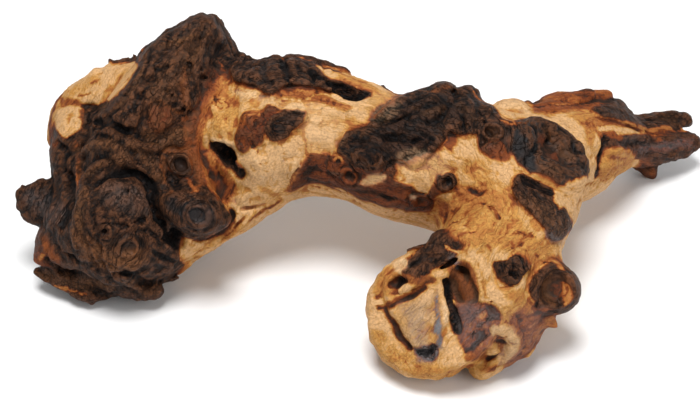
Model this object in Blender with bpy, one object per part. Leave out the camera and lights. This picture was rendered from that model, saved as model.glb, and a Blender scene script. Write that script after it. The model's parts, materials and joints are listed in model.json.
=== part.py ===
"""A dry piece of gnarled root: pale sapwood with plates and knots of folded dark heartwood.

The root is one solid. Its shape is a distance field: limbs are swept spheres that melt
into each other, and hollows, knots, plates and folds are worked into them one by one.
Lengths are in millimetres until the mesh is made, which is in metres.

Places are written down as the root is seen from the front, from 38 degrees above the
table: how far across, how far up in that view, and then a height over the table or, for
what lies on the skin, nothing more, because the skin is found by looking from the front.
"""

import math
from concurrent.futures import ThreadPoolExecutor

import bmesh
import bpy
import numpy as np
import openvdb

MM = 0.001
VIEW_ELEVATION = 38.0
VIEW_DISTANCE = 875.0
VIEW_HEIGHT = 40.0
VIEW_REACH = 200.0

CELL = 1.9
COARSE = 4 * CELL
MARGIN = 14.0
LIMB_STEPS = 6
PART_SIZE = 6000
TRIANGLES = 11300
FOOT_LEVEL = 0.0
TO_MIDDLE = np.array([-12.25, -0.9, 0.0])
WOOD_COLOUR = (0.30, 0.17, 0.08, 1.0)
WOOD_ROUGHNESS = 0.65

WARP = 2.2
WARP_SIZE = 34.0
EDGE_WARP = 1.1
EDGE_WARP_SIZE = 9.0
BARK_LIFT = 1.3
BARK_SIZE = 11.0
FLUTE = 0.07
FLUTE_SIZE = 0.42
GRAIN = np.array([0.2, 0.13, 0.16])
SLICE_BLEND = 1.2
SEED = 11

PALE = 0.0
RED = 0.5
DARK = 1.0
BLACK = 1.3

CENTRE = np.array([0.0, 0.0, VIEW_HEIGHT])

rng = np.random.default_rng(SEED)
ORDER = np.tile(rng.permutation(256), 2)
SLOPES = rng.normal(size=(256, 3))
SLOPES /= np.linalg.norm(SLOPES, axis=1, keepdims=True)


def noise(points):
    """Smooth noise between about -1 and 1, with one bump to a unit of length."""
    cell = np.floor(points).astype(np.int64)
    inside = points - cell
    ease = inside**3 * (inside * (inside * 6 - 15) + 10)
    total = np.zeros(len(points))
    for corner in np.ndindex(2, 2, 2):
        key = 0
        weight = 1.0
        for axis, step in enumerate(corner):
            key = ORDER[(key + cell[:, axis] + step) & 255]
            weight = weight * (ease[:, axis] if step else 1 - ease[:, axis])
        total += weight * ((inside - corner) * SLOPES[key]).sum(axis=1)
    return 1.6 * total


def drift(points, size):
    """A smooth random push for each point, between about -1 and 1 along each axis."""
    shifts = np.array([0.0, 31.7, 67.3])[:, None, None]
    return noise((points / size + shifts).reshape(-1, 3)).reshape(3, -1).T


def smoothstep(low, high, value):
    share = np.clip((value - low) / (high - low), 0, 1)
    return share * share * (3 - 2 * share)


class View:
    """A way to look at the root: its directions across, up and towards the eye."""

    def __init__(self, azimuth, elevation):
        turn, tilt = math.radians(azimuth), math.radians(elevation)
        self.across = np.array([math.cos(turn), math.sin(turn), 0.0])
        self.near = np.array(
            [math.sin(turn) * math.cos(tilt), -math.cos(turn) * math.cos(tilt), math.sin(tilt)]
        )
        self.up = np.cross(self.near, self.across)
        self.eye = CENTRE + VIEW_DISTANCE * self.near

    def place(self, across, up, near=0.0):
        """The point seen at (across, up) that lies this far towards the eye from the centre."""
        scale = 1 - near / VIEW_DISTANCE
        return CENTRE + scale * (across * self.across + up * self.up) + near * self.near

    def seen(self, points):
        """How far across, up and near each point is in this view."""
        away = points - CENTRE
        near = away @ self.near
        scale = 1 - near / VIEW_DISTANCE
        return np.stack([away @ self.across / scale, away @ self.up / scale], axis=1), near

    def at_height(self, across, up, height):
        """The point seen at (across, up) that lies at this height over the table."""
        drop = up * self.up[2]
        near = (height - VIEW_HEIGHT - drop) / (self.near[2] - drop / VIEW_DISTANCE)
        return self.place(across, up, near)


FRONT = View(0, VIEW_ELEVATION)
BEHIND = View(180, 30)
LEFT = View(-100, 20)
RIGHT = View(80, 25)


def curve(rows, steps=LIMB_STEPS):
    """Rows along a smooth curve through the given rows."""
    rows = np.asarray(rows, float)
    if len(rows) == 1:
        return np.vstack([rows, rows])
    ends = np.vstack([2 * rows[0] - rows[1], rows, 2 * rows[-1] - rows[-2]])
    t = np.linspace(0, 1, steps, endpoint=False)[:, None]
    spans = []
    for a, b, c, d in zip(ends, ends[1:], ends[2:], ends[3:]):
        spans.append(
            b + 0.5 * t * (c - a) + 0.5 * t**2 * (2 * a - 5 * b + 4 * c - d)
            + 0.5 * t**3 * (3 * b - a - 3 * c + d)
        )
    return np.vstack(spans + [rows[-1:]])


def depth_inside(outline, spots):
    """How far inside a closed outline each spot lies, below nought outside it."""
    run = np.roll(outline, -1, axis=0) - outline
    run[run == 0] = 1e-9
    offset = spots[:, None] - outline
    t = np.clip((offset * run).sum(axis=2) / (run**2).sum(axis=1), 0, 1)
    far = np.sqrt(((offset - t[:, :, None] * run) ** 2).sum(axis=2)).min(axis=1)
    spans = (offset[:, :, 1] < 0) != (offset[:, :, 1] < run[:, 1])
    left = offset[:, :, 0] < offset[:, :, 1] / run[:, 1] * run[:, 0]
    return np.where((spans & left).sum(axis=1) % 2 == 1, far, -far)


class Chain:
    """A curve with a radius at each point, flattened along a face direction if it is thin."""

    grain = GRAIN

    def __init__(self, rows, facing=None, thin=1.0):
        rows = curve(rows)
        self.low = (rows[:, :3] - rows[:, 3:]).min(axis=0)
        self.high = (rows[:, :3] + rows[:, 3:]).max(axis=0)
        self.stretch = np.eye(3)
        if facing is not None:
            facing = np.asarray(facing, float)
            facing /= np.linalg.norm(facing)
            self.stretch += np.outer(facing, facing) * (1 / thin - 1)
        self.run = np.linalg.norm(np.diff(rows[:, :3], axis=0), axis=1)
        self.length = np.concatenate([[0.0], np.cumsum(self.run)])
        self.rows = rows
        self.rows[:, :3] = rows[:, :3] @ self.stretch

    def reach(self, points):
        """For each point, how far it is from the surface, its share of the radius out from
        the axis, and a place in which noise comes out drawn along the curve."""
        gap = np.empty(len(points))
        share = np.empty(len(points))
        flow = np.empty((len(points), 3))
        start, end = self.rows[:-1], self.rows[1:]
        run = end[:, :3] - start[:, :3]
        square = np.maximum((run**2).sum(axis=1), 1e-9)
        size = max(1, 300000 // len(run))
        for first in range(0, len(points), size):
            part = slice(first, first + size)
            place = points[part] @ self.stretch
            offset = place[:, None] - start[:, :3]
            t = np.clip((offset * run).sum(axis=2) / square, 0, 1)
            offset -= t[:, :, None] * run
            radius = start[:, 3] + t * (end[:, 3] - start[:, 3])
            far = np.sqrt((offset**2).sum(axis=2))
            nearest = (far - radius).argmin(axis=1)
            pick = np.arange(len(place)), nearest
            far, radius, offset = far[pick], radius[pick], offset[pick]
            steep = np.linalg.norm(offset @ self.stretch, axis=1)
            gap[part] = (far - radius) * far / np.maximum(steep, 1e-9)
            share[part] = far / radius
            along = self.length[nearest] + t[pick] * self.run[nearest]
            flow[part] = offset + along[:, None] * self.grain
        return gap, share, flow


class Root:
    """The steps that shape the root, in order."""

    def __init__(self):
        self.steps = []
        self.boxes = np.zeros((0, 2, 3))

    def field(self, points):
        """The distance to the skin at each point, below nought inside, and the tone."""
        gap = np.full(len(points), 60.0)
        tone = np.zeros(len(points))
        bent = points + WARP * drift(points, WARP_SIZE)
        rough = points + EDGE_WARP * drift(points, EDGE_WARP_SIZE)
        low, high = points.min(axis=0), points.max(axis=0)
        meets = (self.boxes[:, 0] < high).all(axis=1) & (self.boxes[:, 1] > low).all(axis=1)
        for number in np.flatnonzero(meets):
            box = self.boxes[number]
            near = np.flatnonzero(((points > box[0]) & (points < box[1])).all(axis=1))
            if len(near):
                work = self.steps[number]
                gap[near], tone[near] = work(bent[near], rough[near], gap[near], tone[near])
        return gap, tone

    def fields(self, points):
        """The same for very many points, worked out in parts side by side."""
        parts = np.array_split(points, max(1, len(points) // PART_SIZE))
        with ThreadPoolExecutor() as pool:
            gaps, tones = zip(*pool.map(self.field, parts))
        return np.concatenate(gaps), np.concatenate(tones)

    def add_step(self, low, high, margin, work):
        self.steps.append(work)
        self.boxes = np.vstack([self.boxes, [[low - margin, high + margin]]])

    def limb(self, *stations, tone=PALE, blend=10.0, facing=None, thin=1.0):
        """Wood along the stations, each with its place across, up, height and radius."""
        rows = [[*FRONT.at_height(*station[:3]), station[3]] for station in stations]
        chain = Chain(rows, facing, thin)
        size = max(station[3] for station in stations)
        shift = 17.3 * len(self.steps)

        def work(bent, rough, gap, old):
            new, _, flow = chain.reach(bent)
            flow = flow / (FLUTE_SIZE * size) + shift
            new -= FLUTE * size * (np.abs(noise(flow)) + 0.5 * noise(2.1 * flow) - 0.2)
            mix = np.clip(0.5 + 0.5 * (gap - new) / blend, 0, 1)
            joined = gap + (new - gap) * mix - blend * mix * (1 - mix)
            return joined, old + (tone - old) * mix

        self.add_step(chain.low, chain.high, MARGIN, work)

    def hollow(self, *stations, tone=None, blend=3.0, view=FRONT):
        """A hollow along stations on the skin: across, up, how deep it lies, radius."""
        places = self.skin([station[:2] for station in stations], view)
        rows = [
            [*(place - station[2] * view.near), station[3]]
            for place, station in zip(places, stations)
        ]
        chain = Chain(rows)

        def work(bent, rough, gap, old):
            cut, _, _ = chain.reach(rough)
            mix = np.clip(0.5 - 0.5 * (gap + cut) / blend, 0, 1)
            joined = gap + (-cut - gap) * mix + blend * mix * (1 - mix)
            if tone is None:
                return joined, old
            return joined, old + (tone - old) * smoothstep(0.6 * blend, -0.3 * blend, cut)

        self.add_step(chain.low, chain.high, MARGIN, work)

    def relief(self, *stations, lift=0.0, edge=0.5, tone=None, view=FRONT):
        """Skin raised or sunk along stations: across, up, half width. Edge is its soft share."""
        places = self.skin([station[:2] for station in stations], view)
        rows = [[*place, station[2]] for place, station in zip(places, stations)]
        chain = Chain(rows)

        def work(bent, rough, gap, old):
            _, share, _ = chain.reach(rough)
            cover = smoothstep(1, 1 - edge, share)
            if tone is not None:
                old = old + (tone - old) * cover
            return gap - lift * cover, old

        self.add_step(chain.low, chain.high, 2.0, work)

    def area(self, *outline, lift=0.0, edge=1.0, tone=None, depth=7.0, view=FRONT):
        """Skin inside an outline, as a view sees it, raised or sunk, or of another tone."""
        outline = np.array(outline, float)
        middle = outline.mean(axis=0)
        places = self.skin(np.vstack([outline, 0.5 * (outline + middle), [middle]]), view)
        _, near = view.seen(places)
        outline = curve(np.vstack([outline, outline[:1]]), 3)[:-1]

        def work(bent, rough, gap, old):
            spots, away = view.seen(rough)
            cover = smoothstep(-edge, edge, depth_inside(outline, spots))
            cover *= smoothstep(near.min() - depth, near.min() - 0.5 * depth, away)
            if tone is not None:
                old = old + (tone - old) * cover
            return gap - lift * cover, old

        self.add_step(places.min(axis=0), places.max(axis=0), depth, work)

    def knot(
        self, across, up, wide, tall, turn=0.0, rim=2.0, sink=2.0, moat=0.8, tone=DARK,
        heart=None, view=FRONT,
    ):
        """An oval knot on the skin, with a raised rim, a sunken middle and a groove around."""
        place = self.skin([(across, up)], view)[0]
        normal = self.normal(place, 0.35 * min(wide, tall))
        along = math.cos(turn) * view.across + math.sin(turn) * view.up
        along -= normal * (along @ normal)
        along /= np.linalg.norm(along)
        side = np.cross(normal, along)
        frame = np.stack([along / wide, side / tall, normal / max(wide, tall)], axis=1)
        reach = 1.5 * max(wide, tall)

        def work(bent, rough, gap, old):
            local = (rough - place) @ frame
            out = np.hypot(local[:, 0], local[:, 1])
            here = smoothstep(1.3, 0.9, np.abs(local[:, 2]))
            rise = rim * np.exp(-(((out - 0.82) / 0.2) ** 2))
            rise -= sink * smoothstep(0.72, 0.15, out)
            rise -= moat * np.exp(-(((out - 1.15) / 0.12) ** 2))
            cover = here * smoothstep(1.12, 1.0, out)
            old = old + (tone - old) * cover
            if heart is not None:
                old = old + (heart - old) * here * smoothstep(0.62, 0.4, out)
            return gap - rise * here, old

        self.add_step(place, place, reach, work)
        return place, frame

    def slice(self, across, up, height, outward, wide):
        """A broken end: wood past this place is gone, out to the given width."""
        place = FRONT.at_height(across, up, height)
        outward = outward[0] * FRONT.across + outward[1] * FRONT.up + outward[2] * FRONT.near
        outward /= np.linalg.norm(outward)

        def work(bent, rough, gap, old):
            cut = (rough - place) @ outward
            mix = np.clip(0.5 + 0.5 * (cut - gap) / SLICE_BLEND, 0, 1)
            return gap + (cut - gap) * mix + SLICE_BLEND * mix * (1 - mix), old

        self.add_step(place, place, wide, work)

    def bark(self):
        """Dark wood swells into lumps with creases between them."""

        def work(bent, rough, gap, old):
            dark = np.flatnonzero(old > 0.45)
            folded = rough[dark] + 2.5 * drift(rough[dark], 17.0)
            lumps = np.abs(noise(folded / BARK_SIZE)) + 0.5 * np.abs(noise(folded / 5.3 + 9))
            gap[dark] -= BARK_LIFT * (2 * lumps - 0.6) * smoothstep(0.45, 0.8, old[dark])
            return gap, old

        everywhere = np.full(3, 500.0)
        self.add_step(-everywhere, everywhere, 0.0, work)

    def skin(self, places, view):
        """Where the skin is met by looking along the view at each (across, up)."""
        eye = view.eye
        look = np.array([view.place(across, up) for across, up in places]) - eye
        look /= np.linalg.norm(look, axis=1, keepdims=True)
        travel = np.full(len(look), VIEW_DISTANCE - VIEW_REACH)
        best = np.full(len(look), np.inf)
        found = travel.copy()
        for _ in range(90):
            gap, _ = self.field(eye + travel[:, None] * look)
            if (best < 0.15).all():
                break
            closer = np.abs(gap) < best
            best[closer] = np.abs(gap)[closer]
            found[closer] = travel[closer]
            travel += np.where(best < 0.15, 0.0, np.clip(0.9 * gap, -3.0, 9.0))
        return eye + found[:, None] * look

    def normal(self, place, reach=1.5):
        """The way out of the wood at one place, averaged over the given reach."""
        steps = reach * np.vstack([np.eye(3), -np.eye(3)])
        gap, _ = self.field(place + steps)
        slope = gap[:3] - gap[3:]
        return slope / np.linalg.norm(slope)


def shape_left_burl(root):
    """The big folded burl at the left end, on its broad foot."""
    root.limb((-100, 18, 52, 36), (-88, 47.5, 78, 27), tone=DARK)
    root.limb((-124, -12.5, 34, 27), (-100, -11.5, 36, 25), (-80, -1, 43, 19), tone=DARK, blend=8)
    root.limb((-114, -23.5, 20, 21), tone=DARK, blend=8)
    root.limb((-132.5, 26.5, 58, 18), (-127.5, 9, 46, 20), tone=DARK, blend=6)
    root.limb((-122.5, 39, 60, 22), (-105, 50, 74, 18), tone=DARK, blend=8)
    root.limb(
        (-68.5, 89.5, 106, 4), (-73.5, 83.5, 104, 8), (-82, 73.5, 98, 13), (-90, 61.5, 92, 17),
        (-100, 46.5, 84, 19), (-111, 31.5, 74, 20), tone=DARK, blend=6,
    )
    root.limb(
        (-66.5, 86.5, 101, 4), (-64, 79, 97, 6), (-64, 70.5, 91, 8), (-69, 59, 84, 12),
        tone=DARK, blend=5,
    )
    root.limb(
        (-139, 35, 58, 12), (-135, 45.5, 68, 12.5), (-125, 55, 78, 11), (-112.5, 61, 86, 8.5),
        tone=PALE, blend=5,
    )
    root.limb((-129, 45.5, 64, 12), (-117, 53.5, 75, 10), (-111, 59.5, 82, 8), tone=PALE, blend=5)
    root.limb((-127, 65, 88, 1.5), (-128, 58.5, 84, 4), tone=PALE, blend=3)
    root.limb((-119.5, 68, 92, 2), (-119, 61.5, 88, 5), tone=PALE, blend=3)
    root.limb((-116, 66, 93, 2.5), (-108.5, 66, 94, 2), tone=PALE, blend=3)
    root.limb((-116, -2.5, 50, 23), (-114, -18.5, 37, 21), tone=DARK, blend=6)
    shape_left_foot(root)
    shape_left_face(root)
    shape_knob_burl(root)


def shape_left_foot(root):
    """The lobes around the foot of the left burl: ear, slab, nose and lumps."""
    root.limb(
        (-144, -1.5, 38, 11), (-153, 0, 40, 11.5), (-160, 3.5, 44, 6.5), (-162.5, 7.5, 48, 3),
        tone=DARK, blend=3, facing=FRONT.near, thin=0.6,
    )
    root.limb((-144, -21, 26, 13), tone=0.7, blend=5)
    root.limb((-152, -25.5, 24, 5), (-155.5, -28, 22, 2.5), tone=RED, blend=3)
    root.limb(
        (-157, -35, 12, 2), (-147.5, -38, 11, 4.5), (-135, -41.5, 9, 6), (-125, -42.5, 8, 6),
        (-119, -41, 8, 5), tone=DARK, blend=2, facing=(0.0, -0.3, 1.0), thin=0.5,
    )
    root.limb((-150, -32.5, 15, 4), (-141, -35.5, 13, 6), (-130, -38.5, 11, 6), tone=DARK, blend=3)
    root.limb((-130, -44.5, 7, 4), (-129, -48, 4, 2), tone=DARK, blend=2)
    root.limb((-116, -29.5, 18, 14), tone=DARK, blend=4)
    root.limb((-111, -39.5, 14, 7), (-102.5, -42, 12, 6), (-98, -43, 12, 5), tone=DARK, blend=3)
    root.limb((-100, -29.5, 18, 9), (-92, -30.5, 16, 7), tone=DARK, blend=3)
    root.limb(
        (-44, 17.5, 52, 16), (-55, 1.5, 42, 16), (-66.5, -10.5, 31, 12.5),
        (-78.5, -22, 19, 8.5), (-86, -31.5, 10, 5), tone=PALE, blend=6,
    )
    root.hollow(
        (-151, -30, 0, 2), (-142, -33.5, 1, 3), (-133, -37, 1.5, 3), (-123, -40.5, 1, 2.2),
        tone=DARK,
    )
    root.hollow((-142, 15.5, 0, 2), (-141.5, 4, 1, 2.5), (-144, -9.5, 0.5, 2), tone=DARK)


def shape_left_face(root):
    """The dark face of the left burl: ridge, hood, pillow, brow, recess and knots."""
    root.area(
        (-68, 93.5), (-64, 82.5), (-68, 78.5), (-71, 68.5), (-75.5, 59.5), (-74.5, 52.5), (-79, 45.5),
        (-86, 44.5), (-91, 48.5), (-95, 51), (-100, 49.5), (-104.5, 45.5), (-107, 36.5),
        (-115, 39.5), (-122, 42.5), (-118, 50.5), (-113, 56.5), (-108, 63.5), (-105, 73.5),
        (-95, 83.5),
        (-77, 92.5), lift=2.6, edge=1.2, tone=DARK, depth=22,
    )
    ridge_folds(root)
    root.area(
        (-100, 49), (-93.5, 50.5), (-89, 46.5), (-88, 40.5), (-92, 36.5), (-98, 37), (-101.5, 42.5),
        lift=1.6, edge=1.4, tone=0.55,
    )
    root.relief((-133, 5.5, 3.5), (-131, 14.5, 4), (-124, 20, 4.5), (-115, 22, 4.5),
        (-105, 19.5, 4.5), (-97.5, 14.5, 4), lift=3.2, edge=0.8)
    root.hollow(
        (-126.5, 9.5, 0.6, 1.2), (-121, 13, 1.2, 2), (-113, 14.5, 1.6, 2.4),
        (-105, 13, 1.8, 2.6), (-100, 8.5, 2, 2.8), (-98.5, 2.5, 2, 2.6), tone=BLACK,
    )
    root.relief((-119, 5.5, 9), (-110, 4.5, 10), (-105, 0, 8), lift=3, edge=0.9)
    root.hollow(
        (-125, -1.5, 0.2, 0.7), (-121, 4, 0.4, 0.9), (-113, 5.5, 0.4, 0.9), (-100, 6, 0.3, 0.7),
    )
    root.relief(
        (-137, -21.5, 3), (-137, -10.5, 4), (-135, -0.5, 4.5), (-133, 6.5, 4), lift=2.8, edge=0.9,
    )
    root.hollow((-128.5, -11.5, 0.2, 0.7), (-129, -4.5, 0.5, 1), (-125, 0.5, 0.2, 0.7))
    root.hollow(
        (-100, 2.5, 2, 3.0), (-97.5, -4.5, 4, 4.4), (-94.5, -11, 5, 5.2), (-89.5, -16, 4.5, 5),
        (-86, -21.5, 2, 2.5), tone=BLACK,
    )
    root.relief((-101, -4.5, 2.5), (-100, -9.5, 3), (-95, -14.5, 2.5), lift=2, edge=0.8)
    root.knot(-123.5, -14.5, 4, 4, rim=1.2, sink=3)
    root.knot(-111, -22.5, 6, 6, rim=1.6, sink=1.5, heart=0.8)
    root.relief(
        (-104.5, -14.5, 2), (-101, -20.5, 2.5), (-102, -27.5, 2.5), (-108, -32.5, 2.5),
        (-117, -30.5, 2), lift=2, edge=0.9,
    )
    root.relief(
        (-123, -23.5, 1.5), (-121, -31.5, 2), (-114, -38.5, 2.5), (-105, -42.5, 3), lift=2,
        edge=0.9,
    )
    root.relief((-100, -23.5, 2), (-92, -29.5, 3), (-89, -33.5, 2), lift=2, edge=0.9)
    root.hollow((-127, -20.5, 0.3, 0.8), (-124, -29.5, 0.6, 1.1), (-117, -39.5, 0.3, 0.8))
    root.hollow((-145, -22.5, 0.3, 0.8), (-135, -29.5, 0.6, 1.1), (-126, -31.5, 0.3, 0.8))
    root.hollow(
        (-103, -33.5, 0.5, 1), (-108, -36.5, 1, 1.4), (-102, -39.5, 0.8, 1.2),
        (-95, -38.5, 0.5, 1),
    )
    arch_folds(root)
    body_folds(root)


def body_folds(root):
    """Long folds that wind round the pillow, the knots and the lower lobes."""
    fold = {"blend": 1.4}
    for x, y in ((-133, -16.5), (-130, -15), (-127, -14)):
        root.hollow(
            (x, y, 0.2, 0.7), (x + 2, y - 8, 0.6, 1.1), (x + 7, y - 16, 0.7, 1.2),
            (x + 15, y - 20, 0.2, 0.7), **fold,
        )
    x, y = (-111, -21.5)
    for reach in (4, 6, 8):
        root.relief(
            (x - reach, y, 1.2), (x - 2 - reach, y - 3 - reach / 3, 1.6), (x - 1, y - 3 - reach, 1.6),
            (x + 2 + reach, y - 2 - reach / 2, 1.2), lift=1.1, edge=0.9,
        )
    root.hollow(
        (-119, -9.5, 0.2, 0.7), (-113, -11.5, 0.6, 1.1), (-105, -9.5, 0.6, 1.1),
        (-101, -4.5, 0.2, 0.7), **fold,
    )
    root.hollow((-126, -6.5, 0.2, 0.7), (-119, -7.5, 0.5, 1), (-112, -5.5, 0.2, 0.7), **fold)
    root.hollow((-108, -14.5, 0.2, 0.7), (-102, -13.5, 0.5, 1), (-96, -16.5, 0.2, 0.7), **fold)
    root.relief((-100, -18.5, 2), (-95, -23.5, 2.6), (-89, -26.5, 2), lift=1.6, edge=0.9)
    root.hollow(
        (-99, -23.5, 0.4, 0.9), (-94, -27.5, 0.8, 1.3), (-88, -29.5, 0.4, 0.9), tone=BLACK, **fold,
    )
    root.hollow(
        (-116, -32.5, 0.4, 0.9), (-112, -35.5, 1, 1.5), (-106, -34.5, 0.4, 0.9), tone=BLACK,
        **fold,
    )


def ridge_folds(root):
    """Creases and swellings down the dark ridge to the peak."""
    fold = {"blend": 1.6}
    root.hollow(
        (-73, 84.5, 0.2, 0.7), (-79, 75.5, 0.6, 1.2), (-80, 66.5, 0.8, 1.3),
        (-76.5, 55.5, 0.3, 0.8), **fold,
    )
    root.hollow(
        (-83, 81.5, 0.2, 0.7), (-87, 70.5, 0.7, 1.3), (-86, 60.5, 0.8, 1.3), (-83, 49.5, 0.4, 0.9),
        **fold,
    )
    root.hollow(
        (-91, 80.5, 0.2, 0.7), (-96, 69.5, 0.7, 1.3), (-100, 59.5, 0.8, 1.4),
        (-108, 48.5, 0.4, 0.9), **fold,
    )
    root.hollow((-100, 73.5, 0.2, 0.7), (-105, 62.5, 0.6, 1.2), (-113, 51.5, 0.3, 0.8), **fold)
    root.hollow((-94, 57.5, 0.2, 0.7), (-89, 54, 0.6, 1.1), (-87, 49.5, 0.3, 0.8), **fold)
    root.hollow(
        (-95, 66.5, 0.5, 1), (-91, 67.5, 0.8, 1.4), (-88.5, 65.5, 0.4, 0.9), tone=BLACK, **fold,
    )
    root.hollow((-84, 72.5, 0.2, 0.7), (-79, 68.5, 0.5, 1), (-73.5, 66.5, 0.2, 0.7), **fold)
    root.relief(
        (-77, 86.5, 2.5), (-84, 76.5, 3), (-91, 63.5, 3.5), (-96, 53.5, 3), lift=1.6, edge=0.9,
    )
    root.relief((-72, 83.5, 2.2), (-76, 71.5, 2.6), (-78, 60.5, 2.6), lift=1.5, edge=0.9)
    root.relief((-87, 65.5, 2), (-82, 57.5, 3), (-81, 49.5, 3), lift=1.8, edge=0.9)
    root.relief((-103, 68.5, 2.5), (-108, 56.5, 3), (-114, 46.5, 3), lift=1.6, edge=0.9)
    root.hollow((-68, 76.5, 1.5, 2.2), (-64, 75.5, 2.5, 3.2), (-60.5, 72.5, 1.5, 2.2), tone=BLACK)
    root.hollow(
        (-75, 62, 0.8, 1.2), (-71, 62.5, 1.5, 2), (-66.5, 62.5, 1.5, 2), (-65, 64.5, 1, 1.4),
        tone=BLACK,
    )
    root.relief((-68.5, 70.5, 2.6), (-70, 65.5, 3), lift=1.4, edge=0.8)
    root.relief((-66, 71.5, 1.6), (-63, 67.5, 2), (-62, 61.5, 1.6), lift=1.4, edge=0.8, tone=0.4)
    root.hollow((-90, 49.5, 0.4, 0.8), (-86, 45.5, 0.8, 1.2), (-80, 46, 0.5, 0.9), tone=BLACK, **fold)


def arch_folds(root):
    """The stacked folds over the hood, between the pale shell and the ridge."""
    root.hollow(
        (-132, 17.5, 0.3, 0.8), (-128, 21.5, 0.8, 1.2), (-123, 23, 0.8, 1.2),
        (-118, 19.5, 0.3, 0.8), tone=BLACK,
    )
    root.relief(
        (-135, 23.5, 2.5), (-129, 28, 3), (-121, 28.5, 3), (-114, 25, 2.5), lift=2.2, edge=0.9,
    )
    root.hollow(
        (-136, 27.5, 0.3, 0.8), (-129, 32, 0.7, 1.2), (-121, 32.5, 0.7, 1.2),
        (-113, 28.5, 0.3, 0.8),
    )
    root.relief(
        (-135, 31.5, 2.2), (-129, 36, 2.8), (-121, 36.5, 2.8), (-115, 33, 2.2), lift=2, edge=0.9,
    )
    root.hollow((-132, 38.5, 0.5, 1), (-125, 41, 1, 1.6), (-119, 40, 0.5, 1), tone=BLACK)
    root.hollow((-119, 40.5, 0.6, 1.1), (-114, 36.5, 1.2, 1.8), (-107, 36, 0.6, 1.1), tone=BLACK)
    root.hollow((-110, 26.5, 0.3, 0.8), (-106, 21.5, 0.7, 1.2), (-100, 16.5, 0.3, 0.8))
    root.relief((-112, 31.5, 3), (-104, 28.5, 3.4), (-96, 26.5, 3), lift=1.6, edge=0.9)
    root.hollow(
        (-107, 33.5, 0.3, 0.8), (-100, 32.5, 0.7, 1.2), (-92, 35.5, 0.7, 1.2),
        (-85, 40.5, 0.3, 0.8),
    )
    root.relief((-87, 36.5, 3), (-83, 30.5, 3), lift=1.4, edge=0.9, tone=0.7)
    root.hollow((-95, 23.5, 0.3, 0.8), (-90, 27.5, 0.8, 1.3), (-83, 26.5, 0.3, 0.8))
    root.hollow(
        (-140, 13.5, 1, 1.6), (-138.5, 5.5, 2, 2.6), (-139.5, -2.5, 2, 2.6),
        (-143.5, -11.5, 1, 1.8), tone=BLACK,
    )
    root.relief((-137, 15.5, 1.5), (-135.5, 9.5, 2), lift=1, edge=0.8, tone=0.45)
    root.hollow((-146, 30, 0.5, 1), (-142, 26.5, 1, 1.8), (-144, 19.5, 1, 1.8))
    root.hollow((-133.5, 48.5, 0.5, 0.9), (-128, 49.5, 0.6, 1), (-121, 49.5, 0.4, 0.8))
    root.area(
        (-146.5, 47.5), (-141, 48.5), (-135, 48), (-133.5, 45.5), (-135, 38), (-140, 33.5),
        (-144, 32.5),
        (-147, 36.5), (-148, 42.5), lift=0.8, edge=1.0, tone=PALE, depth=12,
    )
    root.area(
        (-144, 56.5), (-134, 62.5), (-128, 68.5), (-119, 72.5), (-107, 70.5), (-108.5, 63.5),
        (-114, 56.5),
        (-122, 50), (-133, 50), (-140, 53), lift=0.3, edge=0.8, tone=PALE, depth=30,
    )
    root.area(
        (-145.5, 52.5), (-141, 52.5), (-135.5, 52), (-137.5, 49), (-144, 48.5), edge=0.7, tone=0.5,
        depth=12,
    )


def shape_knob_burl(root):
    """The knob that stands out at the right of the dark face, and the knots above it."""
    root.limb(
        (-92.5, 0.5, 53, 8), (-85, -1, 56, 10), (-75, -4.5, 55, 11), (-68, -7, 52, 7.5),
        tone=DARK, blend=2,
    )
    root.limb((-83, 18.5, 66, 9), (-80, 9.5, 60, 9.5), (-76, 0.5, 54, 9), tone=0.75, blend=3)
    root.area(
        (-95, 5.5), (-87.5, 6.5), (-79, 6), (-71, 2.5), (-66.5, -2), (-63, -6.5), (-65, -11.5),
        (-71, -15), (-78, -15.5), (-85, -12.5), (-92.5, -7.5), lift=1.2, edge=1.2, tone=DARK,
        depth=16,
    )
    root.knot(-76.5, -6, 7, 6, turn=-0.4, rim=1.4, sink=1.2, moat=0.9)
    root.relief(
        (-73, 26.5, 4), (-70, 18.5, 5.5), (-68, 11.5, 5), (-69, 5.5, 3), lift=0.6, edge=0.6,
        tone=0.5,
    )
    root.relief((-84.5, 18.5, 8.5), lift=0.6, edge=0.5, tone=0.5)
    root.knot(-84.5, 19, 6.5, 5, turn=-0.9, rim=2, sink=2, moat=0.8)
    root.hollow((-93, 21.5, 0.4, 0.8), (-91, 13.5, 0.9, 1.3), (-86, 6.5, 0.4, 0.8))
    root.relief((-82, 12.5, 1.6), (-77, 6.5, 2), lift=1, edge=0.8, tone=0.45)
    root.relief((-90, 3.5, 1.4), (-82, 2, 1.8), (-73, -1.5, 1.4), lift=0.9, edge=0.9)


def shape_bridge(root):
    """The limb that runs from the burl to the fork, clear of the table."""
    root.limb(
        (-66, 34, 62, 32), (-44, 33.5, 67, 33), (-25, 38.5, 70, 31), (-2.5, 34.5, 69, 29),
        (11, 28.5, 67, 28), (27.5, 22.5, 64, 29), (45, 21.5, 62, 30), blend=8,
    )
    root.limb((-30, 12.5, 47, 7), (-5, 11, 49, 8), (22.5, 2, 46, 8.5), (45, -5, 44, 9), blend=6)
    root.limb(
        (-25, 66, 93, 3), (-16, 65, 92, 3.5), (-6.5, 62, 89, 4), (3.5, 57, 85, 4),
        (12.5, 53, 81, 4.5), (19, 49.5, 78, 4), tone=0.35, blend=3,
    )
    shape_bridge_plates(root)
    shape_bridge_hole(root)


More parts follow.
